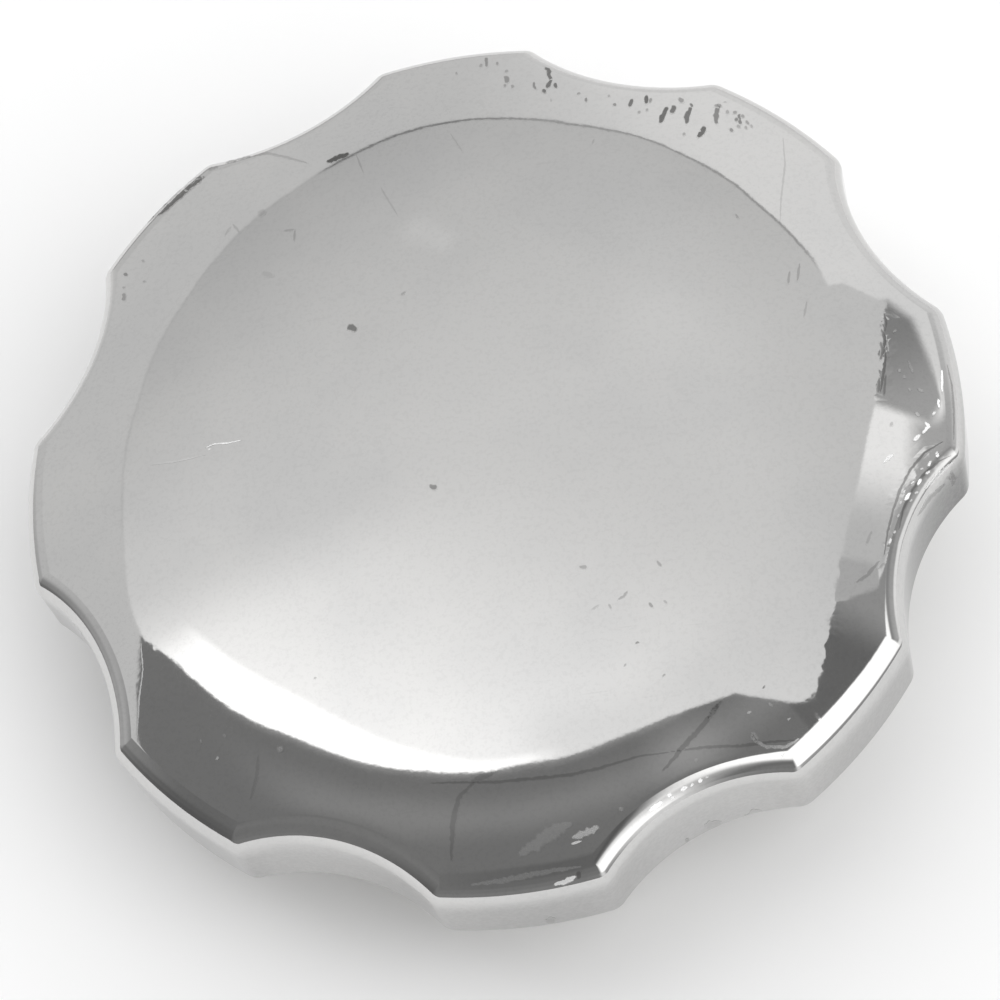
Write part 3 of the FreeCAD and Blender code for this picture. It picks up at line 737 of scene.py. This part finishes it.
# Scratches and smears, and painted dark reflections along the shoulder's rounded edge
SCRATCHES_AND_DARK_REFLECTIONS_PX = (
    (4.5, 0.85, 326, 163, 332, 160, 340, 157, 350, 153),
    (2.2, 0.6, 147, 223, 160, 209, 172, 197, 181, 189),
    (4.0, 0.75, 158, 216, 170, 205, 180, 196, 190, 187, 205, 176),
    (6.5, 0.6, 184, 190, 193, 183, 203, 177), (2.5, 0.3, 207, 170, 219, 166),
    (2.5, 0.6, 225, 163, 238, 159, 252, 156), (2.0, 0.22, 252, 156, 268, 153, 286, 157, 308, 163),
    (1.6, 0.22, 283, 231, 295, 229), (1.8, 0.28, 295, 229, 294, 242),
    (2.0, 0.2, 232, 223, 240, 233), (1.8, 0.16, 224, 236, 231, 226),
    (5.0, 0.16, 257, 215, 266, 210), (4.0, 0.12, 261, 272, 274, 276),
    (6.5, 0.7, 347, 325, 352, 328, 358, 329), (5.0, 0.3, 402, 292, 404, 295),
    (5.0, 0.6, 428, 486, 433, 487, 438, 488), (2.2, 0.35, 617, 600, 624, 596, 628, 590),
    (2.0, 0.3, 608, 603, 612, 610), (3.5, 0.35, 578, 567, 588, 567),
    (2.5, 0.45, 648, 602, 654, 608), (4.0, 0.55, 637, 641, 638, 644),
    (2.2, 0.35, 656, 560, 662, 567), (2.0, 0.3, 663, 600, 668, 604),
    (3.5, 0.35, 624, 664, 626, 666), (3.5, 0.4, 663, 674, 665, 676), (4.0, 0.6, 763, 686, 765, 688),
    (1.8, 0.22, 591, 610, 600, 604), (1.7, 0.2, 783, 137, 785, 165, 781, 200, 780, 224),
    (1.6, 0.2, 356, 154, 364, 174), (1.8, 0.16, 380, 186, 388, 200, 398, 216),
    (2.2, 0.3, 790, 270, 788, 285), (2.2, 0.3, 800, 262, 797, 282), (2.0, 0.22, 807, 300, 804, 318),
    (2.2, 0.3, 735, 213, 739, 219), (1.6, 0.14, 450, 133, 463, 152),
    (4.0, 0.18, 592, 141, 594, 142), (3.0, 0.35, 314, 677, 316, 679),
    (6.0, 0.26, 497, 770, 484, 776, 469, 785), (4.6, 0.24, 474, 782, 459, 797, 453, 820, 451, 862),
    (3.0, 0.3, 430, 783, 496, 782, 530, 779, 570, 775, 600, 768, 640, 756, 670, 752),
    (2.8, 0.3, 670, 752, 705, 747, 740, 746, 770, 742, 795, 740),
    (4.8, 0.32, 722, 700, 712, 713, 700, 728, 684, 746, 662, 772), (4.0, 0.22, 719, 703, 708, 719),
    (3.0, 0.14, 258, 755, 256, 780, 250, 800), (4.0, 0.4, 578, 870, 579, 880),
    (2.4, 0.5, 884, 312, 886, 324, 883, 335), (2.6, 0.5, 881, 328, 885, 338, 884, 349),
    (3.0, 0.5, 880, 341, 883, 350, 880, 361), (2.6, 0.5, 886, 352, 884, 372, 880, 393),
    (2.4, 0.5, 879, 377, 878, 394), (2.4, 0.4, 886, 374, 884, 396), (4.0, 0.3, 890, 422, 893, 426),
    (1.5, 0.35, 947, 364, 952, 385, 954, 410, 954, 440),
    (2.4, 0.5, 944, 441, 925, 452, 910, 470, 900, 490, 893, 510, 888, 530, 884, 556),
    (2.4, 0.4, 952, 455, 938, 462, 922, 476, 911, 492, 903, 510, 899, 530),
    (4.0, 0.5, 947, 478, 958, 478), (3.5, 0.5, 952, 471, 954, 486),
    (2.6, 0.4, 945, 484, 930, 498, 918, 516), (3.0, 0.35, 686, 839, 689, 842),
    (6.0, 0.12, 705, 826, 722, 823), (6.0, 0.12, 745, 817, 762, 813),
    (5.0, 0.2, 545, 922, 556, 920), (4.0, 0.4, 266, 887, 271, 889),
    (3.0, 0.3, 880, 560, 868, 575, 855, 583), (2.6, 0.2, 866, 545, 872, 530),
    (2.4, 0.25, 877, 570, 886, 562),
)
# Scuffs, and painted highlights along the shoulder's rounded edge
SCUFFS_AND_HIGHLIGHTS_PX = (
    (1.6, 0.8, 205, 448, 214, 444, 228, 443, 242, 440), (1.4, 0.3, 150, 465, 178, 461, 205, 455),
    (1.8, 0.6, 207, 450, 212, 449), (1.8, 0.4, 141, 642, 143, 670, 139, 700, 137, 742),
    (3.5, 0.3, 200, 741, 202, 741), (4.5, 0.4, 216, 757, 219, 759), (3.0, 0.2, 222, 735, 227, 736),
    (6.0, 0.2, 276, 748, 284, 750), (8.0, 0.45, 571, 838, 584, 833, 600, 827),
    (3.0, 0.6, 570, 844, 583, 841), (5.5, 0.75, 553, 885, 566, 881, 577, 876),
    (6.0, 0.23, 470, 885, 500, 881, 540, 873, 582, 866), (14.0, 0.2, 572, 822, 548, 836, 519, 856),
    (4.5, 0.35, 748, 711, 750, 714), (4.5, 0.35, 788, 718, 790, 720),
    (3.5, 0.2, 768, 702, 773, 707), (4.0, 0.28, 751, 730, 755, 741, 766, 747, 786, 747, 800, 738),
    (7.0, 0.22, 752, 731, 757, 743), (5.0, 0.9, 782, 754, 784, 756), (5.0, 0.2, 694, 759, 698, 761),
    (6.0, 0.16, 814, 712, 820, 720), (5.0, 0.25, 618, 808, 624, 810),
    (5.0, 1.0, 648, 812, 655, 807, 663, 801), (4.0, 1.0, 667, 797, 672, 793),
    (3.0, 0.9, 671, 800, 674, 796), (4.0, 0.9, 680, 791, 688, 786), (2.8, 0.8, 690, 787, 694, 783),
    (3.5, 0.9, 698, 783, 703, 779), (2.5, 0.5, 705, 778, 709, 776), (2.6, 1.0, 942, 369, 942, 393),
    (3.2, 1.0, 938, 398, 939, 409), (2.6, 0.8, 932, 416, 936, 411),
    (3.6, 0.9, 924, 422, 929, 426, 922, 434), (3.6, 0.85, 913, 441, 921, 434),
    (4.0, 0.8, 883, 463, 894, 453), (3.5, 0.3, 898, 369, 901, 372), (3.0, 0.25, 903, 375, 906, 378),
    (3.0, 0.2, 908, 360, 913, 373), (3.0, 0.3, 908, 388, 911, 391), (3.5, 0.25, 917, 388, 924, 392),
    (2.6, 0.25, 893, 333, 897, 329), (3.5, 0.3, 915, 412, 920, 416), (2.2, 0.3, 887, 340, 889, 353),
    (3.5, 0.9, 937, 452, 938, 458), (3.2, 0.85, 927, 467, 932, 460),
    (2.6, 0.75, 925, 475, 931, 470), (3.4, 0.95, 917, 486, 922, 478),
    (2.6, 0.7, 910, 485, 915, 480), (3.8, 0.95, 904, 501, 911, 492),
    (2.4, 0.65, 902, 494, 906, 489), (2.8, 0.7, 889, 545, 891, 537), (2.4, 0.6, 893, 534, 896, 530),
    (2.2, 0.6, 920, 470, 924, 468), (2.4, 0.6, 914, 494, 919, 491), (2.4, 0.55, 899, 505, 902, 500),
    (2.4, 0.7, 935, 455, 938, 451), (2.2, 0.45, 897, 518, 900, 513), (2.0, 0.5, 909, 502, 913, 499),
    (4.0, 0.5, 954, 461, 940, 473, 925, 489),
)
PIT_DEPTH = 0.85
SCUFF_AND_HIGHLIGHT_POWER = 1.7            # how much fainter the fainter light ones get
MARK_STEP_PX = 2.5
MARK_LIFT = 0.006 * MM
MARK_SEED = 11
MARK_ROWS = (-1.0, -0.55, 0.0, 0.55, 1.0)    # points across a mark, in half widths
DARK_HALF = 0.75             # half the width of a dark mark, as a share of the one stated
SCUFF_AND_HIGHLIGHT_HALF = 0.6
MARK_TAPER = (0.04, 0.96)    # shares of the way at which the ends stop narrowing
MARK_SWELL = (0.75, 1.25)    # how the width wanders
MARK_DRIFT = 0.12            # and the line, as a share of the width
MARK_FADE = 0.35             # how much less of it there is at its outer rows


def mark_line(points):
    """Points along a line of pixels, a step apart, each with its share of the way."""
    way = np.cumsum([0.0] + [math.dist(p, q) for p, q in zip(points, points[1:])])
    shares = np.linspace(0.0, 1.0, max(3, round(way[-1] / MARK_STEP_PX)) + 1)
    x, y = (np.interp(shares * way[-1], way, side) for side in zip(*points))
    return list(zip(x, y, shares))


def make_marks(skin, material):
    """All marks as one thin skin on the cover, faded out towards their edges."""
    draw = random.Random(MARK_SEED)
    marks = [(mark, mark[1] * PIT_DEPTH, 0.0) for mark in PITS_PX]
    # Dark marks: scratches, and painted dark reflections along the shoulder
    marks += [(mark, mark[1], 0.0) for mark in SCRATCHES_AND_DARK_REFLECTIONS_PX]
    # Light marks: scuffs, and painted highlights along the shoulder
    marks += [(mark, 0.0, mark[1] ** SCUFF_AND_HIGHLIGHT_POWER) for mark in SCUFFS_AND_HIGHLIGHTS_PX]
    vertices, normals, faces = [], [], []
    profile, dark, light = [], [], []
    for number, ((width, strength, *pixels), wear_and_dark_reflection_share, scuff_and_highlight_share) in enumerate(marks):
        lift = MARK_LIFT * (1 + number / len(marks))
        line = mark_line(list(zip(pixels[::2], pixels[1::2])))
        first = len(vertices)
        for k, (x, y, share) in enumerate(line):
            before = line[max(k - 1, 0)]
            after = line[min(k + 1, len(line) - 1)]
            run = Vector((after[0] - before[0], after[1] - before[1])).normalized()
            taper = math.sin(math.pi * min(max(share, MARK_TAPER[0]), MARK_TAPER[1])) ** 0.5
            half = width * (DARK_HALF if wear_and_dark_reflection_share else SCUFF_AND_HIGHLIGHT_HALF) * taper
            half *= draw.uniform(*MARK_SWELL)
            drift = draw.uniform(-MARK_DRIFT, MARK_DRIFT) * width
            end = k == 0 or k == len(line) - 1
            for row in MARK_ROWS:
                offset = row * half + drift
                hit = skin.hit(x - run.y * offset, y + run.x * offset, lift)
                point, normal = hit or (vertices[-1], normals[-1])
                vertices.append(point)
                normals.append(normal)
                outermost = end or abs(row) == 1.0
                profile.append(0.0 if outermost else 1.0 - MARK_FADE * abs(row))
                dark.append(wear_and_dark_reflection_share)
                light.append(scuff_and_highlight_share)
        rows = len(MARK_ROWS)
        for k in range(len(line) - 1):
            for i in range(rows - 1):
                a = first + k * rows + i
                faces.append((a, a + 1, a + rows + 1, a + rows))
    marks_skin = smooth_object("cover_marks", vertices, normals, faces, material)
    # Painted shade on the skirt's reflection, as on the cover
    mottle_and_skirt_shade = [skirt_shade_at(vertex) for vertex in vertices]
    for name, values in (("mark", profile), ("dark", dark), ("light", light), ("mottle_and_skirt_shade", mottle_and_skirt_shade)):
        set_attribute(marks_skin.data, name, values)
    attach(marks_skin, "cap")


# Studio: what lies in each direction, as two angles in degrees from the zenith, to the right of
# the camera and away from it. A ramp is where it starts and ends, and its levels there.

SKY_LIFT = 1.43          # how much more light the sky gives than it shows
BACK_RAMP = (6.0, 27.0, 0.79, 1.03)

# The round panel
PANEL_MIDDLE = (0.5, 29.0)
# Its edge: an angle from the camera's side, and how many steps past PANEL_IN the edge is there
PANEL_IN = 28.0
PANEL_STEP = 1.5
PANEL_OUT = (
    (-180, 1.25), (-170, 1.08), (-160, 0.95), (-150, 0.8), (-135, 0.6), (-120, 0.65), (-105, 0.9),
    (-92, 1.45), (-83, 2.0), (-77, 1.65), (-71, 1.44), (-60, 1.15), (-50, 1.02), (-40, 0.965),
    (-30, 0.985), (-20, 1.03), (-10, 1.08), (0, 1.2), (8, 1.43), (12, 1.45), (30, 1.3), (100, 0.8),
    (112, 0.55), (122, 0.5), (135, 0.6), (150, 0.78), (160, 0.97), (170, 1.2), (180, 1.25),
)
PANEL_EDGE = 0.12
PANEL_LIGHT = 0.91
PANEL_FADE = 0.0073      # how much darker the panel gets for each degree away
# How much brighter it gets towards its near left edge: how much, the way there, how far that is
# and a power; less of it further away and at its right end
PANEL_HOT = 0.6
HOT_WAY = (-0.67, -0.74)
HOT_REACH = 27.0
HOT_POWER = 1.6
HOT_BEYOND = (-9.0, 0.0, 1.0, 0.1)
HOT_END_PAST = (-6.0, -1.0, 0.0, 1.0)
HOT_END_TURN = (0.45, 0.485, 0.0, 0.4)
# And how much more in a crescent at that edge: how much, its width round the panel, how soft its
# inner edge is, and where it starts and ends
GLARE = 0.45
GLARE_WIDTH = (0.35, 0.46, 3.4, 1.0)
GLARE_EDGE = (0.0, 0.8)
GLARE_START = (0.275, 0.3)
GLARE_END = (0.455, 0.485, 1.0, 0.0)
# How much darker it gets at its right and at its far left
RIGHT_SHADE = (17.0, 27.0, 0.0, 0.08)
FAR_LEFT_WAY = (-0.6, 0.8)
FAR_LEFT_SHADE = (15.0, 31.0, 0.0, 0.07)
# Faint clouds in it: place, radius and how much lighter
PANEL_CLOUDS = (
    (1.6, 48.2, 2.2, 0.06), (2.9, 46.4, 2.0, 0.06), (16.0, 33.0, 5.0, 0.03),
    (-5.0, 40.0, 3.5, -0.02),
)
# The dark line along its far edge: its width, where it runs, how strong and how light
RIM_WIDTH = (0.04, 0.16, 1.0, 0.0)
RIM_BEYOND = (31.0, 36.0)
RIM_STRENGTH = (-4.5, -2.5, 0.12, 0.85)
RIM_LIGHT = (6.0, 14.0, 0.1, 0.34)

# Cards: convex corners in order, light and soft edge. A light of four values runs from one to
# another between two places.
FRONT_CARD = ((-60, -40), (-30.4, 25.0), (10.5, 5), (15.4, -3.3), (24, -14), (10, -60))
FRONT_EDGE = 0.2
FRONT_LIGHT = 0.25
# Lighter band along the front: its distance from the panel's middle, its profile and its start
RIDGE_R = 33.3
RIDGE = (0.0, 2.6, 0.09, 0.0)
RIDGE_START = (-29.0, -22.0)
# Lighter band that follows the panel's edge: its profile and its start
HALO = (0.0, 0.7, 0.12, 0.0)
HALO_START = (0.3, 0.36)
FRONT_GLOW = (6.0, -4.0, 5.0, 0.11)  # lighter spot: place, radius, how much
CARDS = (
    (((14.6, -3.0), (19.4, -0.6), (25, -0.6), (32, -14), (19, -14)), 0.2, 0.25),
    (((17.0, -1.6), (21.2, 4.1), (25.5, 4.6), (36, 5.6), (36, -1.6)),
     ((20.0, 0.5), (23.0, 3.5), 0.2, 0.42), 0.25),
    (((20.0, 4.1), (22.0, 7.6), (25.3, 7.6), (25.5, 4.2)), 0.62, 0.25),
    (((22.8, 7.6), (29.0, 21.0), (36, 20), (34, 6), (26.5, 5)),
     ((26.2, 8.8), (29.5, 14.5), 0.75, 1.25), 0.4),
    (((27.0, 6.0), (32.0, 17.0), (38.0, 17.0), (38.0, 6.0)), 0.58, 1.0),
    (((29.5, 19.6), (32.0, 28.7), (33.7, 28.6), (35.1, 26.4), (35.5, 18.6), (33.3, 16.8),
      (32.0, 17.6)),
     ((33.0, 26.0), (34.8, 18.0), 0.34, 0.55), 0.5),
)
# What the round panel shows beyond its circle, as convex corners
PANEL_WINGS = (
    ((11.0, -0.7), (15.1, -3.0), (16.6, -3.2), (18.2, -0.7), (14, 6)),
    ((4.5, -0.8), (18.1, -0.75), (29.6, 19.4), (33.6, 28.4), (30.8, 31), (20, 31)),
)

# Outer sky, seen by the shoulder and the closure: rings round the panel's middle, each with its
# distance in degrees and stops of an angle from the camera's side and a level
RING_TOP = 2.0
RINGS = (
    (42, (
        (-180, 0.75), (-154, 0.7), (-133, 0.76), (-116, 0.74), (-100, 0.72), (-88, 0.62),
        (-64, 0.24), (-40, 0.27), (-16, 0.2), (-4, 0.2), (2, 0.28), (7, 1.3), (11, 1.7), (42, 1.7),
        (48, 0.5), (60, 0.5), (76, 0.66), (99, 0.94), (124, 0.95), (146, 0.9), (165, 0.82),
        (180, 0.75),
    )),
    (68, (
        (-180, 0.66), (-156, 0.32), (-136, 0.9), (-116, 0.64), (-88, 0.46), (-66, 0.18),
        (-40, 0.25), (-16, 0.22), (-4, 0.25), (2, 0.3), (7, 0.9), (11, 1.7), (42, 1.7), (49, 0.65),
        (66, 0.62), (80, 0.9), (105, 0.95), (130, 0.86), (149, 0.95), (165, 0.7), (180, 0.66),
    )),
    (88, (
        (-180, 0.6), (-157, 0.3), (-136, 0.9), (-120, 0.5), (-92, 0.35), (-67, 0.15), (-43, 0.24),
        (-17, 0.26), (-4, 0.27), (2, 0.32), (7, 1.0), (11, 1.7), (41, 1.7), (48, 1.25), (66, 1.15),
        (80, 1.0), (105, 0.95), (130, 0.86), (149, 0.95), (165, 0.66), (180, 0.6),
    )),
    (106, (
        (-180, 0.6), (-157, 0.3), (-136, 0.85), (-116, 0.5), (-92, 0.42), (-67, 0.17), (-43, 0.25),
        (-17, 0.3), (-4, 0.32), (2, 0.5), (8, 0.95), (17, 0.95), (24, 0.5), (40, 0.42), (52, 0.5),
        (70, 0.42), (86, 0.8), (108, 0.95), (134, 0.9), (150, 0.9), (165, 0.66), (180, 0.6),
    )),
)
RING_BLEND = (6.0, 4.0)      # how far from the inner and the outer ring they start to blend
OUTER_RAMP = (37.7, 38.3)


def ring_light(turn, stops):
    """The level that a ring of the outer sky has at an angle given as a share of a turn."""
    node = turn.tree.nodes.new("ShaderNodeValToRGB")
    feed(turn, node.inputs["Fac"])
    node.color_ramp.interpolation = "CARDINAL"
    elements = node.color_ramp.elements
    while len(elements) < len(stops):
        elements.new(0.5)
    for element, (angle, level) in zip(elements, stops):
        element.position = (angle + 180) / 360
        grey = level / RING_TOP
        element.color = (grey, grey, grey, 1)
    return Field(node.outputs["Color"]) * RING_TOP


def outer_sky(turn, radius):
    """The rings, blended into each other outwards."""
    place, stops = RINGS[0]
    sky = ring_light(turn, stops)
    for further, stops in RINGS[1:]:
        share = radius.ramp(place + RING_BLEND[0], further - RING_BLEND[1])
        sky = share.mix(sky, ring_light(turn, stops))
        place = further
    return sky


def card_mask(across, beyond, corners, soft):
    """1 inside a convex outline, and 0 outside."""
    area = sum(p[0] * q[1] - q[0] * p[1] for p, q in zip(corners, corners[1:] + corners[:1]))
    if area < 0:
        corners = corners[::-1]
    inside = None
    for p, q in zip(corners, corners[1:] + corners[:1]):
        length = math.dist(p, q)
        slope_x = -(q[1] - p[1]) / length
        slope_y = (q[0] - p[0]) / length
        depth = across.line(slope_x, beyond.line(slope_y, -(p[0] * slope_x + p[1] * slope_y)))
        inside = inside.calc("MINIMUM", depth) if inside else depth
    return inside.ramp(-soft, soft)


def sloped_light(across, beyond, start, end, start_light, end_light):
    """A level that changes from one place in the sky to another."""
    run = (end[0] - start[0], end[1] - start[1])
    square = run[0] ** 2 + run[1] ** 2
    share = beyond.line(run[1] / square, -(start[0] * run[0] + start[1] * run[1]) / square)
    share = across.line(run[0] / square, share)
    return share.ramp(0.0, 1.0, start_light, end_light)


def spot(across, beyond, x, y, reach, more):
    """A soft round spot in the sky, as strong as more in its middle."""
    return distance(across - x, beyond - y).ramp(0.0, reach, more, 0.0)


def sky_places(direction):
    """The two angles of a direction, in degrees from the zenith."""
    back, right, up = camera_axes()
    x = direction.dot(right)
    y = direction.dot((-right.y, right.x, 0))
    z = direction.dot((0, 0, 1))
    side = distance(x, y)
    scale = side.calc("ARCTAN2", z).calc("DEGREES").calc("DIVIDE", side.larger(1e-5))
    return x * scale, y * scale


def front_light(across, beyond, radius, turn, past):
    """The dark front card, with its lighter bands and spot."""
    ridge = abs(radius - RIDGE_R).ramp(*RIDGE) * across.ramp(*RIDGE_START)
    halo = past.ramp(*HALO) * turn.ramp(*HALO_START)
    return ridge + halo + spot(across, beyond, *FRONT_GLOW) + FRONT_LIGHT


def panel_light(across, beyond, u, v, turn, past):
    """The round panel: brightest at its near left edge, with a crescent of glare."""
    near = u.line(HOT_WAY[0], v * HOT_WAY[1]).larger(0.0).calc("DIVIDE", HOT_REACH)
    near = near.calc("POWER", HOT_POWER) * v.ramp(*HOT_BEYOND)
    near *= (past.ramp(*HOT_END_PAST) * turn.ramp(*HOT_END_TURN)).line(-1.0, 1.0)
    crescent = past + turn.ramp(*GLARE_WIDTH)
    glare = crescent.ramp(*GLARE_EDGE) * turn.ramp(*GLARE_START) * turn.ramp(*GLARE_END)
    far_left = u.line(FAR_LEFT_WAY[0], v * FAR_LEFT_WAY[1])
    light = v.larger(0.0).line(-PANEL_FADE, PANEL_LIGHT)
    light = glare.line(GLARE, near.line(PANEL_HOT, light))
    light -= across.ramp(*RIGHT_SHADE)
    light -= far_left.ramp(*FAR_LEFT_SHADE)
    for cloud in PANEL_CLOUDS:
        light += spot(across, beyond, *cloud)
    return light


def rays(tree, kind):
    """1 to rays of that kind, and 0 to others."""
    return Field(tree.nodes.new("ShaderNodeLightPath").outputs["Is " + kind + " Ray"])


def seen(tree):
    """1 to the camera and in reflections, and 0 to what only lights."""
    return rays(tree, "Camera").larger(rays(tree, "Glossy")).larger(rays(tree, "Transmission"))


def studio():
    world = bpy.data.worlds.new("studio")
    bpy.context.scene.world = world
    world.use_nodes = True
    tree = world.node_tree
    across, beyond = sky_places(Field(tree.nodes.new("ShaderNodeTexCoord").outputs["Generated"]))
    u = across - PANEL_MIDDLE[0]
    v = beyond - PANEL_MIDDLE[1]
    radius = distance(u, v)
    turn = u.calc("ARCTAN2", v * -1.0).line(0.5 / math.pi, 0.5)
    past = radius - ring_light(turn, PANEL_OUT).line(PANEL_STEP, PANEL_IN)

    sky = across.ramp(*BACK_RAMP)
    front = front_light(across, beyond, radius, turn, past)
    sky = card_mask(across, beyond, FRONT_CARD, FRONT_EDGE).mix(sky, front)
    for corners, light, soft in CARDS:
        if isinstance(light, tuple):
            light = sloped_light(across, beyond, *light)
        sky = card_mask(across, beyond, corners, soft).mix(sky, light)
    sky = radius.ramp(*OUTER_RAMP).mix(sky, outer_sky(turn, radius))

    panel = past.ramp(-PANEL_EDGE, PANEL_EDGE, 1.0, 0.0)
    for corners in PANEL_WINGS:
        panel = panel.larger(card_mask(across, beyond, corners, PANEL_EDGE))
    sky = panel.mix(sky, panel_light(across, beyond, u, v, turn, past))
    rim = abs(past).ramp(*RIM_WIDTH) * beyond.ramp(*RIM_BEYOND) * across.ramp(*RIM_STRENGTH)
    sky = rim.mix(sky, across.ramp(*RIM_LIGHT))
    sky *= seen(tree).mix(SKY_LIFT, 1.0)
    background = tree.nodes["Background"].inputs
    feed(rays(tree, "Camera").mix(sky, 1.0), background["Strength"])
    background["Color"].default_value = (1, 1, 1, 1)


FLOOR_R = 4.0
FLOOR_STEPS = 64
FLOOR_GREY = 0.9
FLOOR_LIFT = 0.05


def make_floor():
    """Pale floor whose own brightness shows to the camera and in reflections."""
    turns = [2 * math.pi * i / FLOOR_STEPS for i in range(FLOOR_STEPS)]
    mesh = bpy.data.meshes.new("floor")
    mesh.from_pydata([polar(FLOOR_R, turn) for turn in turns], [], [tuple(range(FLOOR_STEPS))])
    floor = bpy.data.objects.new("floor", mesh)
    bpy.context.collection.objects.link(floor)
    material, shader, coords = surface("floor_paper", metallic=0.0, roughness=1.0)
    shader["Base Color"].default_value = (FLOOR_GREY, FLOOR_GREY, FLOOR_GREY, 1)
    shader["Specular IOR Level"].default_value = 0.0
    shader["Emission Color"].default_value = (1, 1, 1, 1)
    feed(seen(material.node_tree) * FLOOR_LIFT, shader["Emission Strength"])
    mesh.materials.append(material)


def dress(node, material):
    mesh = frame["nodes"][node].data
    mesh.materials.clear()
    mesh.materials.append(material)


def make_springs():
    """Stand-ins for the springs: copies of their meshes, attached to their joints' parents."""
    for joint in frame["record"]["behaviour"]["joints"]:
        for spring in joint.get("deforming_nodes", ()):
            name = spring["node"]
            node = frame["nodes"][name]
            low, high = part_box(name)
            fixed = spring["fixed_end_z_m"]
            length = max(high.z - fixed, fixed - low.z)
            travel = max(abs(end) for end in joint["range_m"])
            coils = bpy.data.objects.new(name + "_coils", node.data.copy())
            bpy.context.collection.objects.link(coils)
            coils.matrix_world = node.matrix_world
            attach(coils, joint["parent"])
            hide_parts(name)
            1.0 - travel / length
            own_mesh(coils)


bpy.context.scene.view_settings.view_transform = "Standard"
make_camera()
studio()
make_floor()
chrome_plate = chrome()
make_marks(make_cover(chrome_plate), chrome_plate)
finishes = {name: metal(name, **look) for name, look in METALS.items()}
finishes.update(seal_rubber=rubber(), washer_plastic=nylon(), filter_felt=felt())
for part in frame["record"]["subparts"]:
    if part["node"] != "cover":
        dress(part["node"], finishes[part["material_slot"]])
make_springs()
